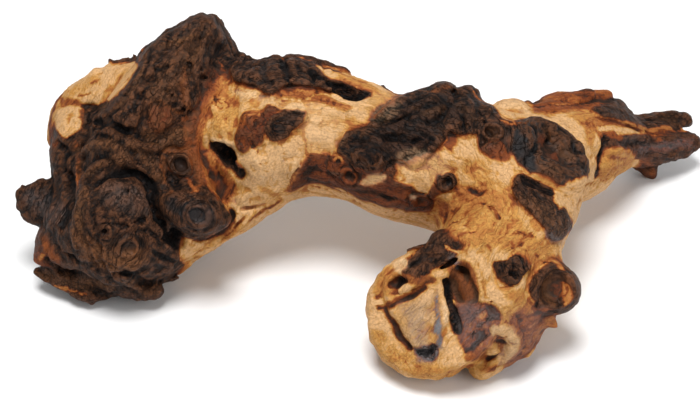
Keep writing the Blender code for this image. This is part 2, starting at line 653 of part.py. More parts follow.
def shape_bridge_plates(root):
    """The bark along the top of the bridge, its long groove, and the dark red patch below."""
    root.area(
        (-62, 60.5), (-55, 59.5), (-47, 56.5), (-41, 53.5), (-33, 53.5), (-24, 52), (-16, 54.5),
        (-10, 53.5), (-3, 49.5), (1, 47.5), (-3, 45.5), (-11, 49.5), (-20, 50.5), (-16, 58.5),
        (-10, 62.5), (-25, 66.5), (-50, 65.5), (-61, 68.5), lift=0.6, edge=0.8, tone=0.45, depth=9,
    )
    root.area(
        (-57, 71.5), (-53.5, 75), (-44, 75.5), (-35.5, 74.5), (-34, 69.5), (-32, 74), (-25, 74),
        (-18.5, 72.5),
        (-15, 67.5), (-11, 62), (-7.5, 57.5), (-9.5, 56), (-15, 58), (-22, 59), (-30, 59.5),
        (-34.5, 57.5), (-38, 55.5), (-42, 55.5), (-46.5, 58), (-52.5, 60), (-58.5, 62), (-59.5, 67.5),
        lift=2.2, edge=0.8, tone=DARK, depth=12,
    )
    root.hollow(
        (-19, 65.5, 1, 2), (-12.5, 61.5, 2.5, 3.8), (-5, 56.5, 3.5, 4.6), (1.5, 53, 3, 3.8),
        (8.5, 54.5, 1, 1.5), tone=BLACK,
    )
    root.hollow((-34, 71.5, 1, 2), (-32.5, 66.5, 1, 1.5), (-30.5, 59.5, 0.6, 1), tone=BLACK)
    root.hollow((-50, 71.5, 0.3, 0.8), (-51.5, 66.5, 0.6, 1.1), (-50, 61.5, 0.3, 0.8))
    root.hollow((-44, 70.5, 0.3, 0.8), (-43, 64.5, 0.6, 1.1), (-39, 59.5, 0.3, 0.8))
    root.hollow((-27, 69.5, 0.3, 0.8), (-23, 64.5, 0.6, 1.1), (-17, 60.5, 0.3, 0.8))
    root.relief((-10, 45.5, 5), (1, 46.5, 5), (11.5, 49.5, 5.5), (19, 52, 4.5), lift=2.2, edge=1.0)
    root.relief((-5, 63.5, 3), (3, 59.5, 3.5), (12, 56.5, 3), lift=1.2, edge=0.9, tone=0.28)
    root.area(
        (-33.5, 6), (-30, 10.5), (-25, 16.5), (-22.5, 23), (-18.5, 26), (-13, 24.5), (-8, 24),
        (-2.5, 22.5), (6, 19.5), (17, 20), (22.5, 20), (23.5, 16), (22, 11), (27, 9.5),
        (32, 8.5), (35.5, 5), (39, 4.5), (41.5, 11), (45.5, 15.5), (50, 15.5), (53, 11.5),
        (52.5, 7), (46.5, 4.5), (43, 1.5), (41, -4.5), (34, -4.5), (24, -3), (15, -1),
        (5, 2), (-3, 6), (-12, 9), (-22, 9.5), (-28, 6.5),
        lift=0.9, edge=0.8, tone=0.72, depth=9,
    )
    root.area(
        (5, 10), (8, 13), (14, 14.5), (18, 13), (15, 10.5), (9, 8.5), lift=-0.4, edge=0.7,
        tone=0.2,
    )
    root.knot(-6, 21, 2.6, 2.6, rim=0.7, sink=1, moat=0.3, tone=0.25, heart=DARK)
    root.knot(-0.5, 14, 4.5, 4.5, rim=1.2, sink=1.5)
    root.knot(10, 21.5, 9, 6.5, rim=1.1, sink=0.6, tone=0.95)
    root.knot(35, 0.5, 5, 4.5, rim=0.6, sink=1.6)
    root.hollow((-25, 15.5, 0.2, 0.6), (-16, 16.5, 0.5, 0.9), (-8, 13.5, 0.2, 0.6))
    root.hollow((1, 6.5, 0.2, 0.6), (13, 4.5, 0.5, 0.9), (27, 0.5, 0.2, 0.6))


def shape_bridge_hole(root):
    """The black hole in the pale wood, the red loop beside it and the dark oval knot."""
    root.area(
        (-56.5, 25.5), (-57.5, 31.5), (-56, 39.5), (-53.5, 45), (-49, 47), (-44.5, 46), (-42, 49.5),
        (-38.5, 50), (-36, 47), (-39.5, 43.5), (-43, 40.5), (-43.5, 34.5), (-44.5, 28.5), (-47.5, 29),
        (-50, 31), (-50.5, 26.5), (-53.5, 23.5), lift=1.4, edge=0.8, tone=0.68,
    )
    root.relief((-53, 39.5, 1.5), (-52, 44, 1.5), (-47, 44.5, 1.5), lift=1.2, edge=0.8, tone=0.42)
    root.area((-41, 30.5), (-32, 31.5), (-34, 27), (-37, 26), edge=0.7, tone=0.42)
    root.area(
        (-41, 42.5), (-35, 46.5), (-29, 49.5), (-24.5, 50), (-21.5, 46), (-21.5, 43), (-23.5, 39.5),
        (-28, 37), (-30, 33.5), (-33.5, 31.5), (-39, 31), (-42, 33.5), (-43.5, 38),
        lift=2.2, edge=0.9, tone=DARK,
    )
    root.hollow((-39, 38.5, 0.1, 0.6), (-34, 42.5, 0.4, 0.9), (-27, 45.5, 0.1, 0.6))
    root.hollow((-41, 34.5, 0.1, 0.6), (-35, 36.5, 0.4, 0.8), (-28, 41.5, 0.1, 0.6))
    root.area(
        (-63, 59.5), (-55, 53.5), (-56, 41.5), (-59, 30.5), (-55, 12.5), (-44, 3.5), (-40, -5.5),
        (-50, -16.5), (-62, -23.5), (-76, -29.5), (-85, -29.5), (-84.5, -17.5), (-77, -18.5),
        (-68, -16.5), (-62, -12.5), (-59.5, -6.5), (-64, 0), (-68, 6.5), (-72, 15.5),
        (-76, 25.5), (-74, 36.5), (-70.5, 48.5), lift=-1.2, edge=1.0, tone=PALE, depth=26,
    )
    root.relief(
        (-64, 58.5, 1.5), (-71, 48.5, 2.5), (-74.5, 36.5, 2.5), (-76.5, 25.5, 3), (-72, 13.5, 3),
        (-67, 1.5, 2), lift=0.5, edge=0.8, tone=0.45,
    )
    root.area(
        (-76, 26.5), (-69.5, 25.5), (-64, 19.5), (-59, 11.5), (-60, 5.5), (-65, 1.5), (-69.5, 8.5),
        (-73.5, 16.5), lift=0.6, edge=0.9, tone=0.42, depth=14,
    )
    root.hollow(
        (-67.5, 29, 2, 2.4), (-62.5, 26.5, 4, 4.6), (-58, 22, 5, 5.2), (-55, 15.5, 3, 3), tone=BLACK,
    )
    root.relief((-68.5, 31, 1.2), (-63.5, 31, 1.6), (-58, 29, 1.2), lift=1.2, edge=0.8, tone=PALE)
    root.hollow(
        (-64, 1.5, 0.6, 1), (-59.5, -5, 1.4, 2), (-61, -12, 1.6, 2.2), (-68, -17, 1.6, 2),
        (-77, -18.5, 0.8, 1.2), tone=0.7, blend=1.5,
    )
    root.relief(
        (-77, -23.5, 2), (-67, -20.5, 2.6), (-56, -13.5, 2.6), (-47, -4.5, 2), lift=0.9, edge=0.8,
        tone=0.2,
    )
    root.hollow(
        (-72, -21.5, 0.2, 0.7), (-62, -16.5, 0.6, 1.1), (-52, -6.5, 0.2, 0.7), tone=0.3, blend=1.5,
    )
    root.knot(-64.5, 50, 4, 2, turn=-0.9, rim=0.6, sink=1, tone=0.85)
    root.knot(-44.5, 19.5, 1.3, 2, rim=0.0, sink=1.5, moat=0.0, tone=0.7)
    root.knot(-65, 2.5, 2.2, 4.2, turn=0.5, rim=0.2, sink=1.8, tone=DARK)
    root.relief((-42, 28.5, 1), (-38, 21.5, 1.6), (-32, 15.5, 1), lift=0.9, edge=0.8)
    root.relief((-31, 26.5, 1), (-26.5, 19, 1.6), (-33, 8.5, 1), lift=0.9, edge=0.8)
    root.relief((-50, 26.5, 1.2), (-52, 20.5, 1.6), (-49, 12.5, 1.2), lift=0.8, edge=0.8)
    root.relief((-68, 47.5, 2.5), (-66, 39.5, 3.5), (-63, 33.5, 2.5), lift=1.2, edge=0.9)
    root.relief((-55, 1.5, 3), (-46, 5.5, 3.5), (-37, 6.5, 3), lift=1.2, edge=0.9)
    root.hollow((-62, -5.5, 0.2, 0.8), (-53, -2.5, 0.6, 1.2), (-41, -0.5, 0.2, 0.8), blend=1.6)


def shape_fork(root):
    """The thick middle, where the leg and the right branch part, with its dark burl."""
    root.limb((50, 24, 62, 28), (75, 15.5, 57, 28), (89, 8.5, 52, 26), blend=10)
    root.limb(
        (7.5, 30.5, 71, 11), (17.5, 34, 75, 13.5), (27.5, 36, 78, 15), (40, 41, 80, 15),
        (48.5, 45, 80, 13.5), (59, 48, 79, 8.5), tone=DARK, blend=4,
    )
    root.limb((74, 43.5, 70, 5), (78, 44.5, 72, 7), (82, 47.5, 73, 5.5), tone=PALE, blend=4)
    root.area(
        (-7, 25.5), (-5, 31.5), (-2, 36), (3, 36), (9, 40), (16, 45.5), (21, 50.5),
        (27.5, 54.5), (37.5, 58), (47.5, 61.5), (53.5, 57.5), (58, 60), (64.5, 57.5), (66, 50.5),
        (71.5, 48),
        (69.5, 43), (66, 37.5), (65.5, 34.5), (59, 34), (53, 34.5), (50, 36.5), (48, 32),
        (43.5, 27), (39, 22.5), (35, 18.5), (31, 17), (27, 20.5), (21, 21.5), (17, 18.5),
        (8, 18), (0, 21.5), lift=2.2, edge=0.8, tone=DARK, depth=14,
    )
    root.hollow(
        (53.5, 58.5, 1, 1.5), (52.5, 53.5, 1.2, 1.8), (55, 45.5, 0.8, 1.4), (56, 37.5, 0.5, 1),
    )
    root.hollow(
        (11, 42.5, 0.3, 0.8), (18, 40.5, 0.8, 1.3), (26, 41.5, 0.8, 1.3), (34, 46.5, 0.3, 0.8),
    )
    root.hollow((23, 46.5, 0.2, 0.7), (31, 49.5, 0.6, 1.1), (40, 53.5, 0.2, 0.7))
    root.hollow((1, 30.5, 0.3, 0.8), (8, 27.5, 0.8, 1.3), (17, 26.5, 0.3, 0.8))
    root.hollow(
        (14, 33.5, 0.4, 0.9), (22, 32.5, 1, 1.6), (31, 30.5, 0.8, 1.3), (40, 31.5, 0.3, 0.8),
        tone=BLACK,
    )
    root.hollow((39, 40.5, 0.3, 0.8), (45, 42.5, 0.8, 1.3), (50, 49.5, 0.3, 0.8))
    root.hollow((23, 25.5, 0.3, 0.8), (30, 23.5, 0.7, 1.2), (37, 25.5, 0.3, 0.8))
    root.relief((22.5, 45, 3), (32.5, 47.5, 3.5), (42.5, 52.5, 3), lift=1.6, edge=0.9)
    root.relief((17.5, 27.5, 3), (27.5, 25.5, 3.5), (37.5, 30.5, 3), lift=1.6, edge=0.9)
    root.relief((1, 25.5, 3), (11, 29.5, 3.5), (17, 34.5, 3), lift=1.4, edge=0.9)
    root.relief((58, 54.5, 3), (60, 47.5, 3.5), (59, 39.5, 3), lift=1.2, edge=0.9)
    root.area(
        (64.5, 50.5), (72, 48), (76.5, 42.5), (82, 39.5), (82, 31.5), (80.5, 23.5), (76.5, 21),
        (69, 22.5), (64, 28.5), (63.5, 38.5), lift=0.8, edge=0.8, tone=0.88, depth=14,
    )
    root.hollow((66, 45.5, 0.3, 0.8), (68, 39.5, 0.8, 1.3), (67, 31.5, 0.3, 0.8), tone=BLACK)
    root.relief((49.5, 35.5, 2), (52, 31.5, 2.6), (49, 28.5, 2), lift=0.5, edge=0.5, tone=RED)
    root.relief((23.5, 18.5, 2.4), (27, 16.5, 3), lift=0.3, edge=0.5, tone=0.34)
    root.knot(49, 10.5, 4.6, 4.6, rim=1.0, sink=2.2)
    root.knot(71, 35, 5.5, 5, rim=1.5, sink=2.2)
    root.knot(72.5, 27.5, 6.5, 4.2, turn=-0.2, rim=0.6, sink=-1.2, tone=0.75)


def shape_leg(root):
    """The leg, which comes forward and down to its broken end."""
    root.limb(
        (81, 4, 50, 27.5), (77, -16.5, 43, 28.5), (66, -38.5, 38, 29), blend=9,
    )
    root.limb((60, -42.5, 40, 27), (45, -52.5, 36, 29), (40, -55.5, 29, 30.5), blend=6)
    root.limb((88, -43.5, 30, 19), (79, -59.5, 23, 19), blend=8)
    root.limb((67, -81.5, 8, 6.5), (78, -77.5, 10, 5.5), blend=4)
    root.limb((98, -41, 36, 11), (103.5, -44, 35, 11), tone=0.9, blend=3)
    root.knot(102.5, -43, 12, 11.5, rim=2.6, sink=3.0, moat=0.5, heart=0.6)
    root.area(
        (80.5, 8.5), (82, 12.5), (86, 15), (91, 13), (97.5, 9), (101.5, 7.5), (104, 4.5),
        (106, 0.5), (109, -4.5), (111, -11), (108, -16.5), (103, -19), (98.5, -15.5), (95, -11),
        (90.5, -5), (85, 0), (81.5, 4), lift=2.2, edge=0.8, tone=DARK, depth=12,
    )
    root.hollow((87, 12, 1, 1.5), (94, 8.5, 2, 3), (100.5, 6.5, 1.5, 2.5), tone=BLACK)
    root.knot(77, -34, 4.8, 4.4, rim=1.4, sink=-0.6, moat=0.5)
    root.knot(86, -29.5, 4.8, 6.4, turn=-0.5, rim=1.2, sink=-0.8, moat=0.5)
    root.knot(63, -26.5, 3.2, 2.4, rim=0.2, sink=1.5, tone=1.1)
    root.area(
        (81.5, -55.5), (90, -56), (97.5, -51.5), (103.5, -56.5), (105, -62.5), (99.5, -67),
        (93, -73.5),
        (85, -80.5), (79, -85.5), (77, -81.5), (82.5, -76), (86, -71), (85, -63.5),
        lift=-0.8, edge=0.8, tone=0.62, depth=12,
    )
    root.relief((60, -8.5, 3), lift=0.0, edge=0.5, tone=0.6)
    root.relief((69, -21.5, 3), lift=0.0, edge=0.8, tone=0.4)
    root.relief((77.5, -44.5, 2), (86, -46.5, 5), lift=0.0, edge=0.8, tone=0.3)
    crack = {"tone": 0.8, "blend": 1.0}
    root.hollow((60, 6.5, 0.3, 0.6), (64.5, 4.5, 0.6, 0.9), (68.5, 6, 0.3, 0.5), **crack)
    root.hollow((65, 1, 0.3, 0.5), (71, -2.5, 0.6, 0.9), (74, -7, 0.6, 1.2), **crack)
    root.hollow((48.5, -11.5, 0.5, 0.8), (53.5, -9.5, 0.4, 0.6), **crack)
    root.hollow((54, -16.5, 0.3, 0.5), (62, -14.5, 0.3, 0.5), **crack)
    root.hollow((80, -15.5, 0.3, 0.5), (91, -16.5, 0.5, 0.8), **crack)
    shape_hoof(root)


def shape_hoof(root):
    """The broken end of the leg: a pale standing wedge, rot pits, a slit and a brown hollow."""
    root.limb((44, -18.5, 57, 3), (44, -17.5, 62, 1.6), tone=0.8, blend=3)
    root.slice(35, -54.5, 37, outward=(-0.30, 0.05, 0.95), wide=60)
    root.area(
        (18, -37), (23, -33.5), (30, -32.5), (37, -29.5), (42, -30.5), (44.5, -35.5), (47, -45.5),
        (50, -55.5), (47, -63.5), (44, -71.5), (37, -72.5), (31, -70.5), (26, -63.5), (21, -54.5),
        (17, -46.5), lift=2.4, edge=0.9, tone=0.06,
    )
    root.hollow(
        (28.5, -31, 1, 1.4), (33.5, -28, 3, 2.6), (40, -26, 4, 3.2), (44.5, -27.5, 3, 2.4),
        tone=BLACK,
    )
    root.hollow(
        (47.5, -29.5, 3, 2.2), (48.5, -40.5, 4, 2.4), (50.5, -50.5, 4, 2.4),
        (53.5, -64.5, 2.5, 1.5), tone=BLACK,
    )
    root.area(
        (50, -34.5), (54, -30.5), (58, -32.5), (62, -38.5), (64, -44.5), (64, -49.5), (59, -50.5),
        (53.5, -48.5), (51, -42.5), lift=-3.0, edge=1.2, tone=0.5,
    )
    root.hollow((51, -29.5, 1.5, 2.5), (55, -31.5, 2, 3.0), (59, -36.5, 1, 2), tone=0.8)
    root.relief((48, -21.5, 1.6), (54, -25.5, 2), (60, -32, 2.2), (64, -39.5, 2.2), (65.5, -48.5, 2),
        lift=2.4, edge=0.8, tone=0.08)
    root.relief((51, -22.5, 1), (58, -26.5, 1.4), (64, -34.5, 1.4), lift=0.8, edge=0.8, tone=0.3)
    root.hollow((21, -40.5, 1.5, 2.5), (25, -39.5, 1.8, 2.8), tone=DARK)
    root.hollow((29, -38.5, 0.6, 1.2), (34, -36.5, 0.8, 1.3), (39, -35, 0.5, 1.0), tone=0.75)
    root.hollow((31, -42, 0.6, 1.1), (36, -40, 0.8, 1.3), (41, -38, 0.5, 1.0), tone=0.75)
    root.hollow(
        (14, -53, 0.4, 0.8), (22, -50.5, 0.8, 1.3), (29, -47.5, 0.9, 1.3), (37, -43.5, 0.4, 0.8),
        tone=0.62, blend=1.5,
    )
    root.hollow((13, -47, 0.4, 0.8), (18, -45, 0.8, 1.2), (24, -44.5, 0.4, 0.8), tone=0.55, blend=1.5)
    root.hollow(
        (18, -52.5, 0.3, 0.8), (20.5, -58.5, 0.6, 1.4), (24.5, -66, 0.7, 1.5),
        (29.5, -72, 0.8, 1.6), tone=0.5, blend=2,
    )
    root.hollow((35, -74.5, 1, 2), (39, -75.5, 1.5, 3), (42, -72.5, 1, 2.2), tone=0.85, blend=2)
    root.relief((44.5, -48.5, 1.6), (45, -57.5, 2.2), (44, -67.5, 1.8), lift=0.8, edge=0.8, tone=0.2)
    root.area(
        (53, -51.5), (60, -50.5), (68, -50), (74.5, -53.5), (75, -58.5), (70, -63.5), (64, -69.5),
        (58, -74.5), (55, -71), (53.5, -63.5), lift=-0.8, edge=1.0, tone=0.55,
    )
    root.area(
        (56.5, -77), (60, -69.5), (65, -63.5), (70, -59), (74.5, -59.5), (73.5, -64.5), (69, -71),
        (64, -77.5), (59, -79), lift=0.8, edge=0.8, tone=0.5,
    )
    root.hollow((61, -72.5, 0.3, 0.8), (64, -67.5, 0.8, 1.2), (68, -62.5, 0.3, 0.8), tone=1.0)
    root.relief(
        (72.5, -62.5, 3.5), (79, -64.5, 5), (82, -71.5, 5.5), (79, -77.5, 4.5), lift=2.4, edge=0.7,
        tone=0.12,
    )
    root.relief((69, -70.5, 2.5), (73, -75.5, 3.5), (70, -81.5, 3), lift=1.6, edge=0.7, tone=0.15)
    root.hollow(
        (71, -70.5, 0.3, 0.8), (75, -69.5, 0.5, 1), (79, -71.5, 0.3, 0.8), tone=0.6, blend=1.2,
    )
    root.hollow(
        (69, -77.5, 0.3, 0.8), (74, -76.5, 0.6, 1.1), (79, -74.5, 0.3, 0.8), tone=0.6, blend=1.2,
    )
    root.relief((66, -84, 2.5), (71.5, -83, 3), lift=1, edge=0.6, tone=RED)
    root.limb((99, -58.5, 26, 4), (103.5, -62.5, 24, 1), tone=0.4, blend=3)


def shape_right_branch(root):
    """The branch that runs back and down to the table, with its bowl and its fingers."""
    root.limb(
        (89, 20.5, 50, 27), (105, 26, 44, 24.5), (120, 28.5, 37, 20.5), (131, 30, 31, 16.5),
        (141, 30.5, 26, 10.5), (150, 31, 22, 10), blend=8,
    )
    root.limb((112.5, 5.5, 28, 7), (124, 11.5, 24, 7), tone=PALE, blend=5)
    root.limb(
        (92.5, 48, 62, 4), (105, 51, 59, 5), (117.5, 51, 54, 5), (127, 52.5, 50, 3.2),
        tone=0.45, blend=4,
    )
    root.limb((124, 44.5, 45, 7), (133, 46, 41, 5.2), (139, 42.5, 37, 3.5), tone=DARK, blend=3)
    root.limb(
        (140, 39.5, 32, 5), (151, 40.5, 28, 5), (160, 40.5, 25, 4.8), (167, 40.5, 23, 3.8),
        tone=DARK, blend=3,
    )
    root.limb(
        (145, 29, 22, 11), (155, 29, 19, 9.5), (164, 29, 17, 7), (170.5, 29.5, 16, 4.6),
        tone=0.85, blend=4,
    )
    root.limb((146.5, 22.5, 10, 6.5), (149.5, 18, 5, 5), (150.5, 15.5, 2, 3.5), tone=0.7, blend=3)
    root.limb((142, 23.5, 12, 5), (143.5, 20, 9, 3), tone=0.7, blend=2)
    root.area(
        (91, 45), (93, 49.5), (98, 53.5), (105, 56), (112.5, 55.5), (120, 57.5), (126.5, 58.5),
        (131.5, 55.5),
        (129, 51.5), (123, 49.5), (120, 46.5), (105, 46), (97.5, 45), lift=0.8, edge=0.8,
        tone=0.42, depth=12,
    )
    root.knot(104, 28, 23.5, 20, rim=3.2, sink=7, moat=0.9, heart=0.6)
    root.hollow(
        (90, 40.5, 0.3, 0.9), (93, 34.5, 0.8, 1.4), (92, 26.5, 0.8, 1.4), (89, 21.5, 0.3, 0.9),
        tone=BLACK,
    )
    root.hollow((97.5, 38.5, 0.3, 0.8), (99, 30.5, 0.6, 1.1), (97, 22.5, 0.3, 0.8))
    root.hollow((105, 37.5, 0.2, 0.7), (111, 33.5, 0.5, 1), (112, 26.5, 0.2, 0.7))
    root.relief((103, 34.5, 2), (105, 28.5, 2.4), (102, 22.5, 2), lift=1.2, edge=0.9)
    root.area(
        (120, 49.5), (125, 50.5), (130, 50), (134, 52.5), (137, 50), (139.5, 46), (143.5, 42.5),
        (149, 43.5),
        (157, 46.5), (166, 46.5), (171, 42.5), (170, 38.5), (164, 37.5), (157, 36), (147.5, 36),
        (140, 38.5), (131, 42), (122, 44.5), lift=1.2, edge=0.8, tone=DARK, depth=12,
    )
    root.area(
        (129.5, 32), (136, 34), (145, 34.5), (156, 33), (170, 35), (175.5, 30.5), (172.5, 24.5),
        (163, 20), (152.5, 18.5), (144, 21.5), (136, 23), (129, 26.5), lift=0.9, edge=0.8,
        tone=0.8, depth=12,
    )
    root.relief((125, 33.5, 3), (133, 34, 2.5), lift=0.4, edge=0.6, tone=0.52)
    root.hollow(
        (128, 32.5, 1.0, 1.5), (126.5, 26.5, 2.5, 2.3), (124.5, 19, 2.5, 2.2), (123.5, 13, 1, 1),
        tone=BLACK,
    )
    root.hollow(
        (123, 43.5, 0.3, 0.8), (132, 40.5, 0.6, 1.1), (145, 36.5, 0.3, 0.8), tone=0.6, blend=1.5,
    )
    root.hollow((136, 30.5, 0.2, 0.7), (147.5, 29.5, 0.6, 1.1), (161, 28.5, 0.2, 0.7))
    root.hollow((149, 42, 0.2, 0.6), (157, 42.5, 0.5, 1), (165, 41.5, 0.2, 0.6))
    root.relief((131, 21.5, 6), (130, 15.5, 6), lift=0.8, edge=0.3, tone=0.1)
    root.relief(
        (125, 40.5, 3), (137.5, 38.5, 3), (147.5, 37, 2.5), (160, 37.5, 2.5), lift=0.2, edge=0.7,
        tone=0.4,
    )


def shape_far_side(root):
    """What grew on the sides turned away: plates, knots, furrows and a hollow."""
    root.relief((66, 30, 8), (90, 33, 9), (112, 26, 8), lift=1.8, edge=0.2, tone=DARK, view=BEHIND)
    root.relief(
        (112, -2, 9), (128, -14, 10), (142, -4, 7), lift=1.6, edge=0.25, tone=DARK, view=BEHIND,
    )
    root.knot(88, 12, 11, 8, turn=0.6, rim=2.2, sink=3.5, view=BEHIND)
    root.knot(124, 22, 7, 7, rim=1.8, sink=2.5, heart=0.6, view=BEHIND)
    root.relief((58, 22, 5), (30, 30, 7), (5, 27, 6), lift=1.6, edge=0.25, tone=DARK, view=BEHIND)
    root.relief((46, 8, 2.5), (18, 12, 3), (-8, 6, 2.5), lift=2, edge=0.9, view=BEHIND)
    root.hollow((54, -2, 1, 3), (40, 0, 3, 4.5), (26, 3, 1, 2.5), tone=DARK, view=BEHIND)
    root.knot(-22, 22, 8, 6, turn=-0.4, rim=1.8, sink=2.4, view=BEHIND)
    root.relief((-30, 4, 6), (-52, 0, 8), (-72, -8, 6), lift=1.6, edge=0.25, tone=0.8, view=BEHIND)
    root.hollow((-60, 16, 0.5, 1.5), (-80, 8, 1.5, 2.5), (-104, -8, 0.5, 1.5), tone=DARK, view=BEHIND)
    root.relief(
        (-96, 4, 5), (-118, -8, 6), (-136, -18, 4), lift=1.4, edge=0.3, tone=DARK, view=BEHIND,
    )
    root.knot(-78, -24, 5, 4, rim=1.2, sink=1.8, heart=0.6, view=BEHIND)
    root.knot(-32, -28, 6, 7, rim=1.8, sink=2.6, view=LEFT)
    root.hollow((20, 20, 0.5, 1.5), (24, 2, 1.5, 2.6), (18, -14, 0.5, 1.6), tone=DARK, view=LEFT)
    root.relief((-64, -6, 6), (-50, 2, 8), (-34, 4, 6), lift=1.6, edge=0.25, tone=DARK, view=RIGHT)
    root.knot(-68, -22, 6, 5, rim=1.4, sink=2.0, view=RIGHT)
    root.relief((-88, -16, 3), (-74, -10, 3.5), (-56, -14, 3), lift=2, edge=0.9, view=RIGHT)


def shape_root(root):
    """All of the root's forms, in the order in which they are worked."""
    shape_left_burl(root)
    shape_bridge(root)
    shape_fork(root)
    shape_leg(root)
    shape_right_branch(root)
    shape_far_side(root)
    root.bark()
    return root


def sample(root, cell, coarse):
    """The field on a fine lattice, worked out only near the skin."""
    boxes = root.boxes[:-1]
    low = boxes[:, 0].min(axis=0)
    high = boxes[:, 1].max(axis=0)
    low[2] = min(low[2], -4 * cell)
    ratio = round(coarse / cell)
    count = np.ceil((high - low) / coarse).astype(int) + 1
    index = np.indices(count).reshape(3, -1).T
    middle = low + (index + 0.5 - 0.5 / ratio) * coarse
    rough_gap, _ = root.fields(middle)
    values = np.repeat(rough_gap.reshape(count), ratio, axis=0)
    values = np.repeat(np.repeat(values, ratio, axis=1), ratio, axis=2).astype(np.float32)
    close = index[np.abs(rough_gap) < 1.3 * coarse]
    offsets = np.indices((ratio, ratio, ratio)).reshape(3, -1).T
    fine = (close[:, None] * ratio + offsets).reshape(-1, 3)
    gap, _ = root.fields(low + fine * cell)
    values[tuple(fine.T)] = gap
    return low, values


def wood_mesh(root, cell, coarse):
    """The skin as points and faces, in millimetres."""
    low, values = sample(root, cell, coarse)
    grid = openvdb.FloatGrid(3 * cell)
    grid.copyFromArray(np.clip(values, -3 * cell, 3 * cell))
    points, quads = grid.convertToQuads(0.0)
    return largest_body(low + points * cell, quads)


def largest_body(points, quads):
    """Only the faces of the largest closed skin, so that no bubble stays inside the wood."""
    label = np.arange(len(points))
    while True:
        lowest = label.copy()
        np.minimum.at(lowest, quads.ravel(), np.repeat(label[quads].min(axis=1), 4))
        lowest = lowest[lowest]
        if (lowest == label).all():
            break
        label = lowest
    quads = quads[label[quads[:, 0]] == np.bincount(label).argmax()]
    used, quads = np.unique(quads, return_inverse=True)
    return points[used], quads.reshape(-1, 4)


def joined_mesh(name, points, quads):
    mesh = bpy.data.meshes.new(name)
    mesh.from_pydata((points * MM).tolist(), [], quads[:, ::-1].tolist())
    return mesh


def thinned(mesh, triangles):
    """The mesh brought down to about so many triangles, dense only where it bends."""
    obj = bpy.data.objects.new("full", mesh)
    bpy.context.collection.objects.link(obj)
    thin = obj.modifiers.new("thin", "DECIMATE")
    thin.ratio = triangles / (2 * len(mesh.polygons))
    graph = bpy.context.evaluated_depsgraph_get()
    result = bpy.data.meshes.new_from_object(obj.evaluated_get(graph))
    bpy.data.objects.remove(obj, do_unlink=True)
    return result


def cut_feet(mesh):
    """Everything under the table's level is cut off, which leaves the flat feet."""
    bm = bmesh.new()
    bm.from_mesh(mesh)
    bmesh.ops.bisect_plane(
        bm, geom=bm.verts[:] + bm.edges[:] + bm.faces[:], dist=1e-6,
        plane_co=(0, 0, FOOT_LEVEL * MM), plane_no=(0, 0, 1), clear_inner=True,
    )
    rims = [edge for edge in bm.edges if edge.is_boundary]
    bmesh.ops.triangle_fill(bm, edges=rims, use_beauty=True, normal=(0, 0, -1))
    bmesh.ops.recalc_face_normals(bm, faces=bm.faces[:])
    bmesh.ops.triangulate(bm, faces=bm.faces[:])
    bm.to_mesh(mesh)
    bm.free()


def wood_material():
    material = bpy.data.materials.new("dry wood")
    material.use_nodes = True
    shader = material.node_tree.nodes["Principled BSDF"]
    shader.inputs["Base Color"].default_value = WOOD_COLOUR
    shader.inputs["Roughness"].default_value = WOOD_ROUGHNESS
    shader.inputs["Metallic"].default_value = 0.0
    return material


def root_object(root):
    points, quads = wood_mesh(root, CELL, COARSE)
    mesh = thinned(joined_mesh("full", points, quads), TRIANGLES)
    cut_feet(mesh)
    mesh.name = "root"
    mesh.materials.clear()
    mesh.materials.append(wood_material())
    obj = bpy.data.objects.new("root", mesh)
    obj.location = TO_MIDDLE * MM
    bpy.context.collection.objects.link(obj)
    return obj


def main():
    for obj in list(bpy.data.objects):
        bpy.data.objects.remove(obj, do_unlink=True)
    root_object(shape_root(Root()))


if __name__ == "__main__":
    main()
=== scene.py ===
"""The dry root as it looks: one fine skin of wood over the CAD solid, with its paint and light.

The skin is worked out from the same limbs, hollows, knots, plates and folds as the solid,
on a finer lattice, and then gets the grain and the small folds that the solid leaves out.
Lengths are in millimetres until the mesh is made, which is in metres.

Places are written down as the root is seen from the front, from 38 degrees above the
table: how far across, how far up in that view, and then a height over the table or, for
what lies on the skin, nothing more, because the skin is found by looking from the front.
"""

import json
import math
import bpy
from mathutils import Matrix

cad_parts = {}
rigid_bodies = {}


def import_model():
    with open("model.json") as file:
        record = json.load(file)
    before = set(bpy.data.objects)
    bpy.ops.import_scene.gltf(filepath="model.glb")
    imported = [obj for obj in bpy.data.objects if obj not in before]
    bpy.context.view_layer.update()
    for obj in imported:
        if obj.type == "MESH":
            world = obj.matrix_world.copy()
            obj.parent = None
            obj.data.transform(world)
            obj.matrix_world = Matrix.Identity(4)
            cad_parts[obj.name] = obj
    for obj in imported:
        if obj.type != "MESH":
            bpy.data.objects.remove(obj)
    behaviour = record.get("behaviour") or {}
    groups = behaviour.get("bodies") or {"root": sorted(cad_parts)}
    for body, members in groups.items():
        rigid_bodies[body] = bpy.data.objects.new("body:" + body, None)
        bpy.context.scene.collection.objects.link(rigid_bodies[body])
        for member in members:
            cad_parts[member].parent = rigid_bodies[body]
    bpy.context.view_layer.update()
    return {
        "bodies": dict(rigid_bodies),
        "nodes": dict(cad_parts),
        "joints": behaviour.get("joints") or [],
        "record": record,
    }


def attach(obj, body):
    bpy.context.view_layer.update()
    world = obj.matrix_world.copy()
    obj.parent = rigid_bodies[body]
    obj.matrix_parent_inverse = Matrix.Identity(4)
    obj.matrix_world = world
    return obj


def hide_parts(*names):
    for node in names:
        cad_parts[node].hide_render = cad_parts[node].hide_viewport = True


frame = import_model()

from concurrent.futures import ThreadPoolExecutor

import bmesh
import bpy
import numpy as np
import openvdb

MM = 0.001
VIEW_ELEVATION = 38.0
VIEW_DISTANCE = 875.0
VIEW_HEIGHT = 40.0
VIEW_REACH = 200.0

